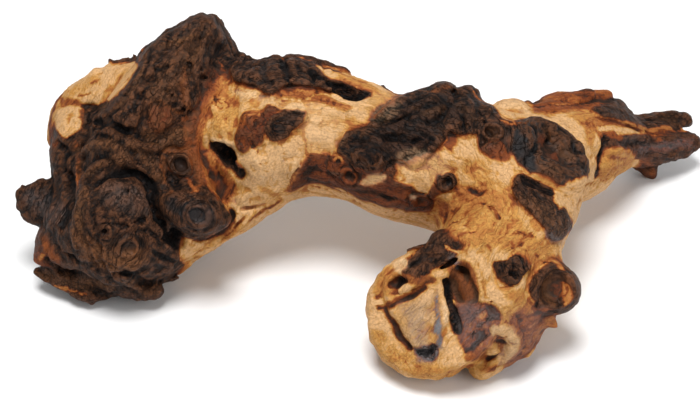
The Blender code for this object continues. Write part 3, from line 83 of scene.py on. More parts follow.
MARGIN = 14.0
LIMB_STEPS = 6
PART_SIZE = 6000
BATCH_SIZE = 300000
FAR_OUT = 60.0
EVERYWHERE = 500.0
SKIN_STEPS = 90
SKIN_CLOSE = 0.15
SKIN_PACE = 0.9
FOOT_LEVEL = 0.0
TO_MIDDLE = np.array([-12.25, -0.9, 0.0])

WARP = 2.2
WARP_SIZE = 34.0
EDGE_WARP = 1.1
EDGE_WARP_SIZE = 9.0
# The bark swells less here than in the solid, because the small folds come on top of it.
BARK_LIFT = 0.9
BARK_SIZE = 11.0
FLUTE = 0.07
FLUTE_SIZE = 0.42
GRAIN = np.array([0.2, 0.13, 0.16])
SLICE_BLEND = 1.2
SEED = 11

PALE = 0.0
RED = 0.5
DARK = 1.0
# The near-black tone that deep hollows, slits and the hole are painted with: painted shade in them.
HOLLOW_SHADE = 1.3

CENTRE = np.array([0.0, 0.0, VIEW_HEIGHT])

rng = np.random.default_rng(SEED)
ORDER = np.tile(rng.permutation(256), 2)
SLOPES = rng.normal(size=(256, 3))
SLOPES /= np.linalg.norm(SLOPES, axis=1, keepdims=True)


def noise(points):
    """Smooth noise between about -1 and 1, with one bump to a unit of length."""
    cell = np.floor(points).astype(np.int64)
    inside = points - cell
    ease = inside**3 * (inside * (inside * 6 - 15) + 10)
    total = np.zeros(len(points))
    for corner in np.ndindex(2, 2, 2):
        key = 0
        weight = 1.0
        for axis, step in enumerate(corner):
            key = ORDER[(key + cell[:, axis] + step) & 255]
            weight = weight * (ease[:, axis] if step else 1 - ease[:, axis])
        total += weight * ((inside - corner) * SLOPES[key]).sum(axis=1)
    return 1.6 * total


def drift(points, size):
    """A smooth random push for each point, between about -1 and 1 along each axis."""
    shifts = np.array([0.0, 31.7, 67.3])[:, None, None]
    return noise((points / size + shifts).reshape(-1, 3)).reshape(3, -1).T


def smoothstep(low, high, value):
    share = np.clip((value - low) / (high - low), 0, 1)
    return share * share * (3 - 2 * share)


class View:
    """A way to look at the root: its directions across, up and towards the eye."""

    def __init__(self, azimuth, elevation):
        turn, tilt = math.radians(azimuth), math.radians(elevation)
        self.across = np.array([math.cos(turn), math.sin(turn), 0.0])
        self.near = np.array(
            [math.sin(turn) * math.cos(tilt), -math.cos(turn) * math.cos(tilt), math.sin(tilt)]
        )
        self.up = np.cross(self.near, self.across)
        self.eye = CENTRE + VIEW_DISTANCE * self.near

    def place(self, across, up, near=0.0):
        """The point seen at (across, up) that lies this far towards the eye from the centre."""
        scale = 1 - near / VIEW_DISTANCE
        return CENTRE + scale * (across * self.across + up * self.up) + near * self.near

    def seen(self, points):
        """How far across, up and near each point is in this view."""
        away = points - CENTRE
        near = away @ self.near
        scale = 1 - near / VIEW_DISTANCE
        return np.stack([away @ self.across / scale, away @ self.up / scale], axis=1), near

    def at_height(self, across, up, height):
        """The point seen at (across, up) that lies at this height over the table."""
        drop = up * self.up[2]
        near = (height - VIEW_HEIGHT - drop) / (self.near[2] - drop / VIEW_DISTANCE)
        return self.place(across, up, near)


FRONT = View(0, VIEW_ELEVATION)
BEHIND = View(180, 30)
LEFT = View(-100, 20)
RIGHT = View(80, 25)


def curve(rows, steps=LIMB_STEPS):
    """Rows along a smooth curve through the given rows."""
    rows = np.asarray(rows, float)
    if len(rows) == 1:
        return np.vstack([rows, rows])
    ends = np.vstack([2 * rows[0] - rows[1], rows, 2 * rows[-1] - rows[-2]])
    t = np.linspace(0, 1, steps, endpoint=False)[:, None]
    spans = []
    for a, b, c, d in zip(ends, ends[1:], ends[2:], ends[3:]):
        spans.append(
            b + 0.5 * t * (c - a) + 0.5 * t**2 * (2 * a - 5 * b + 4 * c - d)
            + 0.5 * t**3 * (3 * b - a - 3 * c + d)
        )
    return np.vstack(spans + [rows[-1:]])


def depth_inside(outline, spots):
    """How far inside a closed outline each spot lies, below nought outside it."""
    run = np.roll(outline, -1, axis=0) - outline
    run[run == 0] = 1e-9
    offset = spots[:, None] - outline
    t = np.clip((offset * run).sum(axis=2) / (run**2).sum(axis=1), 0, 1)
    far = np.sqrt(((offset - t[:, :, None] * run) ** 2).sum(axis=2)).min(axis=1)
    spans = (offset[:, :, 1] < 0) != (offset[:, :, 1] < run[:, 1])
    left = offset[:, :, 0] < offset[:, :, 1] / run[:, 1] * run[:, 0]
    return np.where((spans & left).sum(axis=1) % 2 == 1, far, -far)


class Chain:
    """A curve with a radius at each point, flattened along a face direction if it is thin."""

    grain = GRAIN

    def __init__(self, rows, facing=None, thin=1.0):
        rows = curve(rows)
        self.low = (rows[:, :3] - rows[:, 3:]).min(axis=0)
        self.high = (rows[:, :3] + rows[:, 3:]).max(axis=0)
        self.stretch = np.eye(3)
        if facing is not None:
            facing = np.asarray(facing, float)
            facing /= np.linalg.norm(facing)
            self.stretch += np.outer(facing, facing) * (1 / thin - 1)
        self.run = np.linalg.norm(np.diff(rows[:, :3], axis=0), axis=1)
        self.length = np.concatenate([[0.0], np.cumsum(self.run)])
        self.rows = rows
        self.rows[:, :3] = rows[:, :3] @ self.stretch

    def reach(self, points):
        """For each point, how far it is from the surface, its share of the radius out from
        the axis, and a place in which noise comes out drawn along the curve."""
        gap = np.empty(len(points))
        share = np.empty(len(points))
        flow = np.empty((len(points), 3))
        start, end = self.rows[:-1], self.rows[1:]
        run = end[:, :3] - start[:, :3]
        square = np.maximum((run**2).sum(axis=1), 1e-9)
        size = max(1, BATCH_SIZE // len(run))
        for first in range(0, len(points), size):
            part = slice(first, first + size)
            place = points[part] @ self.stretch
            offset = place[:, None] - start[:, :3]
            t = np.clip((offset * run).sum(axis=2) / square, 0, 1)
            offset -= t[:, :, None] * run
            radius = start[:, 3] + t * (end[:, 3] - start[:, 3])
            far = np.sqrt((offset**2).sum(axis=2))
            nearest = (far - radius).argmin(axis=1)
            pick = np.arange(len(place)), nearest
            far, radius, offset = far[pick], radius[pick], offset[pick]
            steep = np.linalg.norm(offset @ self.stretch, axis=1)
            gap[part] = (far - radius) * far / np.maximum(steep, 1e-9)
            share[part] = far / radius
            along = self.length[nearest] + t[pick] * self.run[nearest]
            flow[part] = offset + along[:, None] * self.grain
        return gap, share, flow


class Root:
    """The steps that shape the root, in order."""

    def __init__(self):
        self.steps = []
        self.boxes = np.zeros((0, 2, 3))

    def field(self, points):
        """The distance to the skin at each point, below nought inside, and the tone."""
        gap = np.full(len(points), FAR_OUT)
        tone = np.zeros(len(points))
        bent = points + WARP * drift(points, WARP_SIZE)
        rough = points + EDGE_WARP * drift(points, EDGE_WARP_SIZE)
        low, high = points.min(axis=0), points.max(axis=0)
        meets = (self.boxes[:, 0] < high).all(axis=1) & (self.boxes[:, 1] > low).all(axis=1)
        for number in np.flatnonzero(meets):
            box = self.boxes[number]
            near = np.flatnonzero(((points > box[0]) & (points < box[1])).all(axis=1))
            if len(near):
                work = self.steps[number]
                gap[near], tone[near] = work(bent[near], rough[near], gap[near], tone[near])
        return gap, tone

    def fields(self, points):
        """The same for very many points, worked out in parts side by side."""
        parts = np.array_split(points, max(1, len(points) // PART_SIZE))
        with ThreadPoolExecutor() as pool:
            gaps, tones = zip(*pool.map(self.field, parts))
        return np.concatenate(gaps), np.concatenate(tones)

    def add_step(self, low, high, margin, work):
        self.steps.append(work)
        self.boxes = np.vstack([self.boxes, [[low - margin, high + margin]]])

    def limb(self, *stations, tone=PALE, blend=10.0, facing=None, thin=1.0):
        """Wood along the stations, each with its place across, up, height and radius."""
        rows = [[*FRONT.at_height(*station[:3]), station[3]] for station in stations]
        chain = Chain(rows, facing, thin)
        size = max(station[3] for station in stations)
        shift = 17.3 * len(self.steps)

        def work(bent, rough, gap, old):
            new, _, flow = chain.reach(bent)
            flow = flow / (FLUTE_SIZE * size) + shift
            new -= FLUTE * size * (np.abs(noise(flow)) + 0.5 * noise(2.1 * flow) - 0.2)
            mix = np.clip(0.5 + 0.5 * (gap - new) / blend, 0, 1)
            joined = gap + (new - gap) * mix - blend * mix * (1 - mix)
            return joined, old + (tone - old) * mix

        self.add_step(chain.low, chain.high, MARGIN, work)

    def hollow(self, *stations, tone=None, blend=3.0, view=FRONT):
        """A hollow along stations on the skin: across, up, how deep it lies, radius."""
        places = self.skin([station[:2] for station in stations], view)
        rows = [
            [*(place - station[2] * view.near), station[3]]
            for place, station in zip(places, stations)
        ]
        chain = Chain(rows)

        def work(bent, rough, gap, old):
            cut, _, _ = chain.reach(rough)
            mix = np.clip(0.5 - 0.5 * (gap + cut) / blend, 0, 1)
            joined = gap + (-cut - gap) * mix + blend * mix * (1 - mix)
            if tone is None:
                return joined, old
            return joined, old + (tone - old) * smoothstep(0.6 * blend, -0.3 * blend, cut)

        self.add_step(chain.low, chain.high, MARGIN, work)

    def relief(self, *stations, lift=0.0, edge=0.5, tone=None, view=FRONT):
        """Skin raised or sunk along stations: across, up, half width. Edge is its soft share."""
        places = self.skin([station[:2] for station in stations], view)
        rows = [[*place, station[2]] for place, station in zip(places, stations)]
        chain = Chain(rows)

        def work(bent, rough, gap, old):
            _, share, _ = chain.reach(rough)
            cover = smoothstep(1, 1 - edge, share)
            if tone is not None:
                old = old + (tone - old) * cover
            return gap - lift * cover, old

        self.add_step(chain.low, chain.high, 2.0, work)

    def area(self, *outline, lift=0.0, edge=1.0, tone=None, depth=7.0, view=FRONT):
        """Skin inside an outline, as a view sees it, raised or sunk, or of another tone."""
        outline = np.array(outline, float)
        middle = outline.mean(axis=0)
        places = self.skin(np.vstack([outline, 0.5 * (outline + middle), [middle]]), view)
        _, near = view.seen(places)
        outline = curve(np.vstack([outline, outline[:1]]), 3)[:-1]

        def work(bent, rough, gap, old):
            spots, away = view.seen(rough)
            cover = smoothstep(-edge, edge, depth_inside(outline, spots))
            cover *= smoothstep(near.min() - depth, near.min() - 0.5 * depth, away)
            if tone is not None:
                old = old + (tone - old) * cover
            return gap - lift * cover, old

        self.add_step(places.min(axis=0), places.max(axis=0), depth, work)

    def knot(
        self, across, up, wide, tall, turn=0.0, rim=2.0, sink=2.0, moat=0.8, tone=DARK,
        heart=None, view=FRONT,
    ):
        """An oval knot on the skin, with a raised rim, a sunken middle and a groove around."""
        place = self.skin([(across, up)], view)[0]
        normal = self.normal(place, 0.35 * min(wide, tall))
        along = math.cos(turn) * view.across + math.sin(turn) * view.up
        along -= normal * (along @ normal)
        along /= np.linalg.norm(along)
        side = np.cross(normal, along)
        frame = np.stack([along / wide, side / tall, normal / max(wide, tall)], axis=1)
        reach = 1.5 * max(wide, tall)

        def work(bent, rough, gap, old):
            local = (rough - place) @ frame
            out = np.hypot(local[:, 0], local[:, 1])
            here = smoothstep(1.3, 0.9, np.abs(local[:, 2]))
            rise = rim * np.exp(-(((out - 0.82) / 0.2) ** 2))
            rise -= sink * smoothstep(0.72, 0.15, out)
            rise -= moat * np.exp(-(((out - 1.15) / 0.12) ** 2))
            cover = here * smoothstep(1.12, 1.0, out)
            old = old + (tone - old) * cover
            if heart is not None:
                old = old + (heart - old) * here * smoothstep(0.62, 0.4, out)
            return gap - rise * here, old

        self.add_step(place, place, reach, work)
        return place, frame

    def slice(self, across, up, height, outward, wide):
        """A broken end: wood past this place is gone, out to the given width."""
        place = FRONT.at_height(across, up, height)
        outward = outward[0] * FRONT.across + outward[1] * FRONT.up + outward[2] * FRONT.near
        outward /= np.linalg.norm(outward)

        def work(bent, rough, gap, old):
            cut = (rough - place) @ outward
            mix = np.clip(0.5 + 0.5 * (cut - gap) / SLICE_BLEND, 0, 1)
            return gap + (cut - gap) * mix + SLICE_BLEND * mix * (1 - mix), old

        self.add_step(place, place, wide, work)

    def bark(self):
        """Dark wood swells into lumps with creases between them."""

        def work(bent, rough, gap, old):
            dark = np.flatnonzero(old > 0.45)
            folded = rough[dark] + 2.5 * drift(rough[dark], 17.0)
            lumps = np.abs(noise(folded / BARK_SIZE)) + 0.5 * np.abs(noise(folded / 5.3 + 9))
            gap[dark] -= BARK_LIFT * (2 * lumps - 0.6) * smoothstep(0.45, 0.8, old[dark])
            return gap, old

        everywhere = np.full(3, EVERYWHERE)
        self.add_step(-everywhere, everywhere, 0.0, work)

    def skin(self, places, view):
        """Where the skin is met by looking along the view at each (across, up)."""
        eye = view.eye
        look = np.array([view.place(across, up) for across, up in places]) - eye
        look /= np.linalg.norm(look, axis=1, keepdims=True)
        travel = np.full(len(look), VIEW_DISTANCE - VIEW_REACH)
        best = np.full(len(look), np.inf)
        found = travel.copy()
        for _ in range(SKIN_STEPS):
            gap, _ = self.field(eye + travel[:, None] * look)
            if (best < SKIN_CLOSE).all():
                break
            closer = np.abs(gap) < best
            best[closer] = np.abs(gap)[closer]
            found[closer] = travel[closer]
            step = np.clip(SKIN_PACE * gap, -3.0, 9.0)
            travel += np.where(best < SKIN_CLOSE, 0.0, step)
        return eye + found[:, None] * look

    def normal(self, place, reach=1.5):
        """The way out of the wood at one place, averaged over the given reach."""
        steps = reach * np.vstack([np.eye(3), -np.eye(3)])
        gap, _ = self.field(place + steps)
        slope = gap[:3] - gap[3:]
        return slope / np.linalg.norm(slope)


def shape_left_burl(root):
    """The big folded burl at the left end, on its broad foot."""
    root.limb((-100, 18, 52, 36), (-88, 47.5, 78, 27), tone=DARK)
    root.limb((-124, -12.5, 34, 27), (-100, -11.5, 36, 25), (-80, -1, 43, 19), tone=DARK, blend=8)
    root.limb((-114, -23.5, 20, 21), tone=DARK, blend=8)
    root.limb((-132.5, 26.5, 58, 18), (-127.5, 9, 46, 20), tone=DARK, blend=6)
    root.limb((-122.5, 39, 60, 22), (-105, 50, 74, 18), tone=DARK, blend=8)
    root.limb(
        (-68.5, 89.5, 106, 4), (-73.5, 83.5, 104, 8), (-82, 73.5, 98, 13), (-90, 61.5, 92, 17),
        (-100, 46.5, 84, 19), (-111, 31.5, 74, 20), tone=DARK, blend=6,
    )
    root.limb(
        (-66.5, 86.5, 101, 4), (-64, 79, 97, 6), (-64, 70.5, 91, 8), (-69, 59, 84, 12),
        tone=DARK, blend=5,
    )
    root.limb(
        (-139, 35, 58, 12), (-135, 45.5, 68, 12.5), (-125, 55, 78, 11), (-112.5, 61, 86, 8.5),
        tone=PALE, blend=5,
    )
    root.limb((-129, 45.5, 64, 12), (-117, 53.5, 75, 10), (-111, 59.5, 82, 8), tone=PALE, blend=5)
    root.limb((-127, 65, 88, 1.5), (-128, 58.5, 84, 4), tone=PALE, blend=3)
    root.limb((-119.5, 68, 92, 2), (-119, 61.5, 88, 5), tone=PALE, blend=3)
    root.limb((-116, 66, 93, 2.5), (-108.5, 66, 94, 2), tone=PALE, blend=3)
    root.limb((-116, -2.5, 50, 23), (-114, -18.5, 37, 21), tone=DARK, blend=6)
    shape_left_foot(root)
    shape_left_face(root)
    shape_knob_burl(root)


def shape_left_foot(root):
    """The lobes around the foot of the left burl: ear, slab, nose and lumps."""
    root.limb(
        (-144, -1.5, 38, 11), (-153, 0, 40, 11.5), (-160, 3.5, 44, 6.5), (-162.5, 7.5, 48, 3),
        tone=DARK, blend=3, facing=FRONT.near, thin=0.6,
    )
    root.limb((-144, -21, 26, 13), tone=0.7, blend=5)
    root.limb((-152, -25.5, 24, 5), (-155.5, -28, 22, 2.5), tone=RED, blend=3)
    root.limb(
        (-157, -35, 12, 2), (-147.5, -38, 11, 4.5), (-135, -41.5, 9, 6), (-125, -42.5, 8, 6),
        (-119, -41, 8, 5), tone=DARK, blend=2, facing=(0.0, -0.3, 1.0), thin=0.5,
    )
    root.limb((-150, -32.5, 15, 4), (-141, -35.5, 13, 6), (-130, -38.5, 11, 6), tone=DARK, blend=3)
    root.limb((-130, -44.5, 7, 4), (-129, -48, 4, 2), tone=DARK, blend=2)
    root.limb((-116, -29.5, 18, 14), tone=DARK, blend=4)
    root.limb((-111, -39.5, 14, 7), (-102.5, -42, 12, 6), (-98, -43, 12, 5), tone=DARK, blend=3)
    root.limb((-100, -29.5, 18, 9), (-92, -30.5, 16, 7), tone=DARK, blend=3)
    root.limb(
        (-44, 17.5, 52, 16), (-55, 1.5, 42, 16), (-66.5, -10.5, 31, 12.5),
        (-78.5, -22, 19, 8.5), (-86, -31.5, 10, 5), tone=PALE, blend=6,
    )
    # The groove over the slab and the gap beside the flap take the dark tone as painted shade,
    # besides being cut.
    root.hollow(
        (-151, -30, 0, 2), (-142, -33.5, 1, 3), (-133, -37, 1.5, 3), (-123, -40.5, 1, 2.2),
        tone=DARK,
    )
    root.hollow((-142, 15.5, 0, 2), (-141.5, 4, 1, 2.5), (-144, -9.5, 0.5, 2), tone=DARK)


def shape_left_face(root):
    """The dark face of the left burl: ridge, hood, pillow, brow, recess and knots."""
    root.area(
        (-68, 93.5), (-64, 82.5), (-68, 78.5), (-71, 68.5), (-75.5, 59.5), (-74.5, 52.5),
        (-79, 45.5), (-86, 44.5), (-91, 48.5), (-95, 51), (-100, 49.5), (-104.5, 45.5),
        (-107, 36.5), (-115, 39.5), (-122, 42.5), (-118, 50.5), (-113, 56.5), (-108, 63.5),
        (-105, 73.5), (-95, 83.5), (-77, 92.5), lift=2.6, edge=1.2, tone=DARK, depth=22,
    )
    ridge_folds(root)
    root.area(
        (-100, 49), (-93.5, 50.5), (-89, 46.5), (-88, 40.5), (-92, 36.5), (-98, 37), (-101.5, 42.5),
        lift=1.6, edge=1.4, tone=0.55,
    )
    root.relief((-133, 5.5, 3.5), (-131, 14.5, 4), (-124, 20, 4.5), (-115, 22, 4.5),
        (-105, 19.5, 4.5), (-97.5, 14.5, 4), lift=3.2, edge=0.8)
    # The hollow under the hood is painted near black, as painted shade.
    root.hollow(
        (-126.5, 9.5, 0.6, 1.2), (-121, 13, 1.2, 2), (-113, 14.5, 1.6, 2.4),
        (-105, 13, 1.8, 2.6), (-100, 8.5, 2, 2.8), (-98.5, 2.5, 2, 2.6), tone=HOLLOW_SHADE,
    )
    root.relief((-119, 5.5, 9), (-110, 4.5, 10), (-105, 0, 8), lift=3, edge=0.9)
    root.hollow(
        (-125, -1.5, 0.2, 0.7), (-121, 4, 0.4, 0.9), (-113, 5.5, 0.4, 0.9), (-100, 6, 0.3, 0.7),
    )
    root.relief(
        (-137, -21.5, 3), (-137, -10.5, 4), (-135, -0.5, 4.5), (-133, 6.5, 4), lift=2.8, edge=0.9,
    )
    root.hollow((-128.5, -11.5, 0.2, 0.7), (-129, -4.5, 0.5, 1), (-125, 0.5, 0.2, 0.7))
    # The recess beside the knob is painted near black, as painted shade.
    root.hollow(
        (-100, 2.5, 2, 3.0), (-97.5, -4.5, 4, 4.4), (-94.5, -11, 5, 5.2), (-89.5, -16, 4.5, 5),
        (-86, -21.5, 2, 2.5), tone=HOLLOW_SHADE,
    )
    root.relief((-101, -4.5, 2.5), (-100, -9.5, 3), (-95, -14.5, 2.5), lift=2, edge=0.8)
    root.knot(-123.5, -14.5, 4, 4, rim=1.2, sink=3)
    root.knot(-111, -22.5, 6, 6, rim=1.6, sink=1.5, heart=0.8)
    root.relief(
        (-104.5, -14.5, 2), (-101, -20.5, 2.5), (-102, -27.5, 2.5), (-108, -32.5, 2.5),
        (-117, -30.5, 2), lift=2, edge=0.9,
    )
    root.relief(
        (-123, -23.5, 1.5), (-121, -31.5, 2), (-114, -38.5, 2.5), (-105, -42.5, 3), lift=2,
        edge=0.9,
    )
    root.relief((-100, -23.5, 2), (-92, -29.5, 3), (-89, -33.5, 2), lift=2, edge=0.9)
    root.hollow((-127, -20.5, 0.3, 0.8), (-124, -29.5, 0.6, 1.1), (-117, -39.5, 0.3, 0.8))
    root.hollow((-145, -22.5, 0.3, 0.8), (-135, -29.5, 0.6, 1.1), (-126, -31.5, 0.3, 0.8))
    root.hollow(
        (-103, -33.5, 0.5, 1), (-108, -36.5, 1, 1.4), (-102, -39.5, 0.8, 1.2),
        (-95, -38.5, 0.5, 1),
    )
    arch_folds(root)
    body_folds(root)


def body_folds(root):
    """Long folds that wind round the pillow, the knots and the lower lobes."""
    fold = {"blend": 1.4}
    for x, y in ((-133, -16.5), (-130, -15), (-127, -14)):
        root.hollow(
            (x, y, 0.2, 0.7), (x + 2, y - 8, 0.6, 1.1), (x + 7, y - 16, 0.7, 1.2),
            (x + 15, y - 20, 0.2, 0.7), **fold,
        )
    x, y = (-111, -21.5)
    for reach in (4, 6, 8):
        root.relief(
            (x - reach, y, 1.2), (x - 2 - reach, y - 3 - reach / 3, 1.6),
            (x - 1, y - 3 - reach, 1.6), (x + 2 + reach, y - 2 - reach / 2, 1.2), lift=1.1,
            edge=0.9,
        )
    root.hollow(
        (-119, -9.5, 0.2, 0.7), (-113, -11.5, 0.6, 1.1), (-105, -9.5, 0.6, 1.1),
        (-101, -4.5, 0.2, 0.7), **fold,
    )
    root.hollow((-126, -6.5, 0.2, 0.7), (-119, -7.5, 0.5, 1), (-112, -5.5, 0.2, 0.7), **fold)
    root.hollow((-108, -14.5, 0.2, 0.7), (-102, -13.5, 0.5, 1), (-96, -16.5, 0.2, 0.7), **fold)
    root.relief((-100, -18.5, 2), (-95, -23.5, 2.6), (-89, -26.5, 2), lift=1.6, edge=0.9)
    # The two deepest folds below are painted near black, as painted shade.
    root.hollow(
        (-99, -23.5, 0.4, 0.9), (-94, -27.5, 0.8, 1.3), (-88, -29.5, 0.4, 0.9), tone=HOLLOW_SHADE, **fold,
    )
    root.hollow(
        (-116, -32.5, 0.4, 0.9), (-112, -35.5, 1, 1.5), (-106, -34.5, 0.4, 0.9), tone=HOLLOW_SHADE,
        **fold,
    )


def ridge_folds(root):
    """Creases and swellings down the dark ridge to the peak."""
    fold = {"blend": 1.6}
    root.hollow(
        (-73, 84.5, 0.2, 0.7), (-79, 75.5, 0.6, 1.2), (-80, 66.5, 0.8, 1.3),
        (-76.5, 55.5, 0.3, 0.8), **fold,
    )
    root.hollow(
        (-83, 81.5, 0.2, 0.7), (-87, 70.5, 0.7, 1.3), (-86, 60.5, 0.8, 1.3), (-83, 49.5, 0.4, 0.9),
        **fold,
    )
    root.hollow(
        (-91, 80.5, 0.2, 0.7), (-96, 69.5, 0.7, 1.3), (-100, 59.5, 0.8, 1.4),
        (-108, 48.5, 0.4, 0.9), **fold,
    )
    root.hollow((-100, 73.5, 0.2, 0.7), (-105, 62.5, 0.6, 1.2), (-113, 51.5, 0.3, 0.8), **fold)
    root.hollow((-94, 57.5, 0.2, 0.7), (-89, 54, 0.6, 1.1), (-87, 49.5, 0.3, 0.8), **fold)
    # This fold, the undercuts by the peak and the fold at the foot of the ridge are painted near
    # black, as painted shade.
    root.hollow(
        (-95, 66.5, 0.5, 1), (-91, 67.5, 0.8, 1.4), (-88.5, 65.5, 0.4, 0.9), tone=HOLLOW_SHADE, **fold,
    )
    root.hollow((-84, 72.5, 0.2, 0.7), (-79, 68.5, 0.5, 1), (-73.5, 66.5, 0.2, 0.7), **fold)
    root.relief(
        (-77, 86.5, 2.5), (-84, 76.5, 3), (-91, 63.5, 3.5), (-96, 53.5, 3), lift=1.6, edge=0.9,
    )
    root.relief((-72, 83.5, 2.2), (-76, 71.5, 2.6), (-78, 60.5, 2.6), lift=1.5, edge=0.9)
    root.relief((-87, 65.5, 2), (-82, 57.5, 3), (-81, 49.5, 3), lift=1.8, edge=0.9)
    root.relief((-103, 68.5, 2.5), (-108, 56.5, 3), (-114, 46.5, 3), lift=1.6, edge=0.9)
    root.hollow((-68, 76.5, 1.5, 2.2), (-64, 75.5, 2.5, 3.2), (-60.5, 72.5, 1.5, 2.2), tone=HOLLOW_SHADE)
    root.hollow(
        (-75, 62, 0.8, 1.2), (-71, 62.5, 1.5, 2), (-66.5, 62.5, 1.5, 2), (-65, 64.5, 1, 1.4),
        tone=HOLLOW_SHADE,
    )
    root.relief((-68.5, 70.5, 2.6), (-70, 65.5, 3), lift=1.4, edge=0.8)
    root.relief((-66, 71.5, 1.6), (-63, 67.5, 2), (-62, 61.5, 1.6), lift=1.4, edge=0.8, tone=0.4)
    root.hollow(
        (-90, 49.5, 0.4, 0.8), (-86, 45.5, 0.8, 1.2), (-80, 46, 0.5, 0.9), tone=HOLLOW_SHADE, **fold,
    )


def arch_folds(root):
    """The stacked folds over the hood, between the pale shell and the ridge."""
    # The folds here given the near-black tone, and the gap beside the flap, are painted shade.
    root.hollow(
        (-132, 17.5, 0.3, 0.8), (-128, 21.5, 0.8, 1.2), (-123, 23, 0.8, 1.2),
        (-118, 19.5, 0.3, 0.8), tone=HOLLOW_SHADE,
    )
    root.relief(
        (-135, 23.5, 2.5), (-129, 28, 3), (-121, 28.5, 3), (-114, 25, 2.5), lift=2.2, edge=0.9,
    )
    root.hollow(
        (-136, 27.5, 0.3, 0.8), (-129, 32, 0.7, 1.2), (-121, 32.5, 0.7, 1.2),
        (-113, 28.5, 0.3, 0.8),
    )
    root.relief(
        (-135, 31.5, 2.2), (-129, 36, 2.8), (-121, 36.5, 2.8), (-115, 33, 2.2), lift=2, edge=0.9,
    )
    root.hollow((-132, 38.5, 0.5, 1), (-125, 41, 1, 1.6), (-119, 40, 0.5, 1), tone=HOLLOW_SHADE)
    root.hollow((-119, 40.5, 0.6, 1.1), (-114, 36.5, 1.2, 1.8), (-107, 36, 0.6, 1.1), tone=HOLLOW_SHADE)
    root.hollow((-110, 26.5, 0.3, 0.8), (-106, 21.5, 0.7, 1.2), (-100, 16.5, 0.3, 0.8))
    root.relief((-112, 31.5, 3), (-104, 28.5, 3.4), (-96, 26.5, 3), lift=1.6, edge=0.9)
    root.hollow(
        (-107, 33.5, 0.3, 0.8), (-100, 32.5, 0.7, 1.2), (-92, 35.5, 0.7, 1.2),
        (-85, 40.5, 0.3, 0.8),
    )
    root.relief((-87, 36.5, 3), (-83, 30.5, 3), lift=1.4, edge=0.9, tone=0.7)
    root.hollow((-95, 23.5, 0.3, 0.8), (-90, 27.5, 0.8, 1.3), (-83, 26.5, 0.3, 0.8))
    root.hollow(
        (-140, 13.5, 1, 1.6), (-138.5, 5.5, 2, 2.6), (-139.5, -2.5, 2, 2.6),
        (-143.5, -11.5, 1, 1.8), tone=HOLLOW_SHADE,
    )
    root.relief((-137, 15.5, 1.5), (-135.5, 9.5, 2), lift=1, edge=0.8, tone=0.45)
    root.hollow((-146, 30, 0.5, 1), (-142, 26.5, 1, 1.8), (-144, 19.5, 1, 1.8))
    root.hollow((-133.5, 48.5, 0.5, 0.9), (-128, 49.5, 0.6, 1), (-121, 49.5, 0.4, 0.8))
    root.area(
        (-146.5, 47.5), (-141, 48.5), (-135, 48), (-133.5, 45.5), (-135, 38), (-140, 33.5),
        (-144, 32.5),
        (-147, 36.5), (-148, 42.5), lift=0.8, edge=1.0, tone=PALE, depth=12,
    )
    root.area(
        (-144, 56.5), (-134, 62.5), (-128, 68.5), (-119, 72.5), (-107, 70.5), (-108.5, 63.5),
        (-114, 56.5),
        (-122, 50), (-133, 50), (-140, 53), lift=0.3, edge=0.8, tone=PALE, depth=30,
    )
    root.area(
        (-145.5, 52.5), (-141, 52.5), (-135.5, 52), (-137.5, 49), (-144, 48.5), edge=0.7, tone=0.5,
        depth=12,
    )


def shape_knob_burl(root):
    """The knob that stands out at the right of the dark face, and the knots above it."""
    root.limb(
        (-92.5, 0.5, 53, 8), (-85, -1, 56, 10), (-75, -4.5, 55, 11), (-68, -7, 52, 7.5),
        tone=DARK, blend=2,
    )
    root.limb((-83, 18.5, 66, 9), (-80, 9.5, 60, 9.5), (-76, 0.5, 54, 9), tone=0.75, blend=3)
    root.area(
        (-95, 5.5), (-87.5, 6.5), (-79, 6), (-71, 2.5), (-66.5, -2), (-63, -6.5), (-65, -11.5),
        (-71, -15), (-78, -15.5), (-85, -12.5), (-92.5, -7.5), lift=1.2, edge=1.2, tone=DARK,
        depth=16,
    )
    root.knot(-76.5, -6, 7, 6, turn=-0.4, rim=1.4, sink=1.2, moat=0.9)
    root.relief(
        (-73, 26.5, 4), (-70, 18.5, 5.5), (-68, 11.5, 5), (-69, 5.5, 3), lift=0.6, edge=0.6,
        tone=0.5,
    )
    root.relief((-84.5, 18.5, 8.5), lift=0.6, edge=0.5, tone=0.5)
    root.knot(-84.5, 19, 6.5, 5, turn=-0.9, rim=2, sink=2, moat=0.8)
    root.hollow((-93, 21.5, 0.4, 0.8), (-91, 13.5, 0.9, 1.3), (-86, 6.5, 0.4, 0.8))
    root.relief((-82, 12.5, 1.6), (-77, 6.5, 2), lift=1, edge=0.8, tone=0.45)
    root.relief((-90, 3.5, 1.4), (-82, 2, 1.8), (-73, -1.5, 1.4), lift=0.9, edge=0.9)


def shape_bridge(root):
    """The limb that runs from the burl to the fork, clear of the table."""
    root.limb(
        (-66, 34, 62, 32), (-44, 33.5, 67, 33), (-25, 38.5, 70, 31), (-2.5, 34.5, 69, 29),
        (11, 28.5, 67, 28), (27.5, 22.5, 64, 29), (45, 21.5, 62, 30), blend=8,
    )
    root.limb((-30, 12.5, 47, 7), (-5, 11, 49, 8), (22.5, 2, 46, 8.5), (45, -5, 44, 9), blend=6)
    root.limb(
        (-25, 66, 93, 3), (-16, 65, 92, 3.5), (-6.5, 62, 89, 4), (3.5, 57, 85, 4),
        (12.5, 53, 81, 4.5), (19, 49.5, 78, 4), tone=0.35, blend=3,
    )
    shape_bridge_plates(root)
    shape_bridge_hole(root)


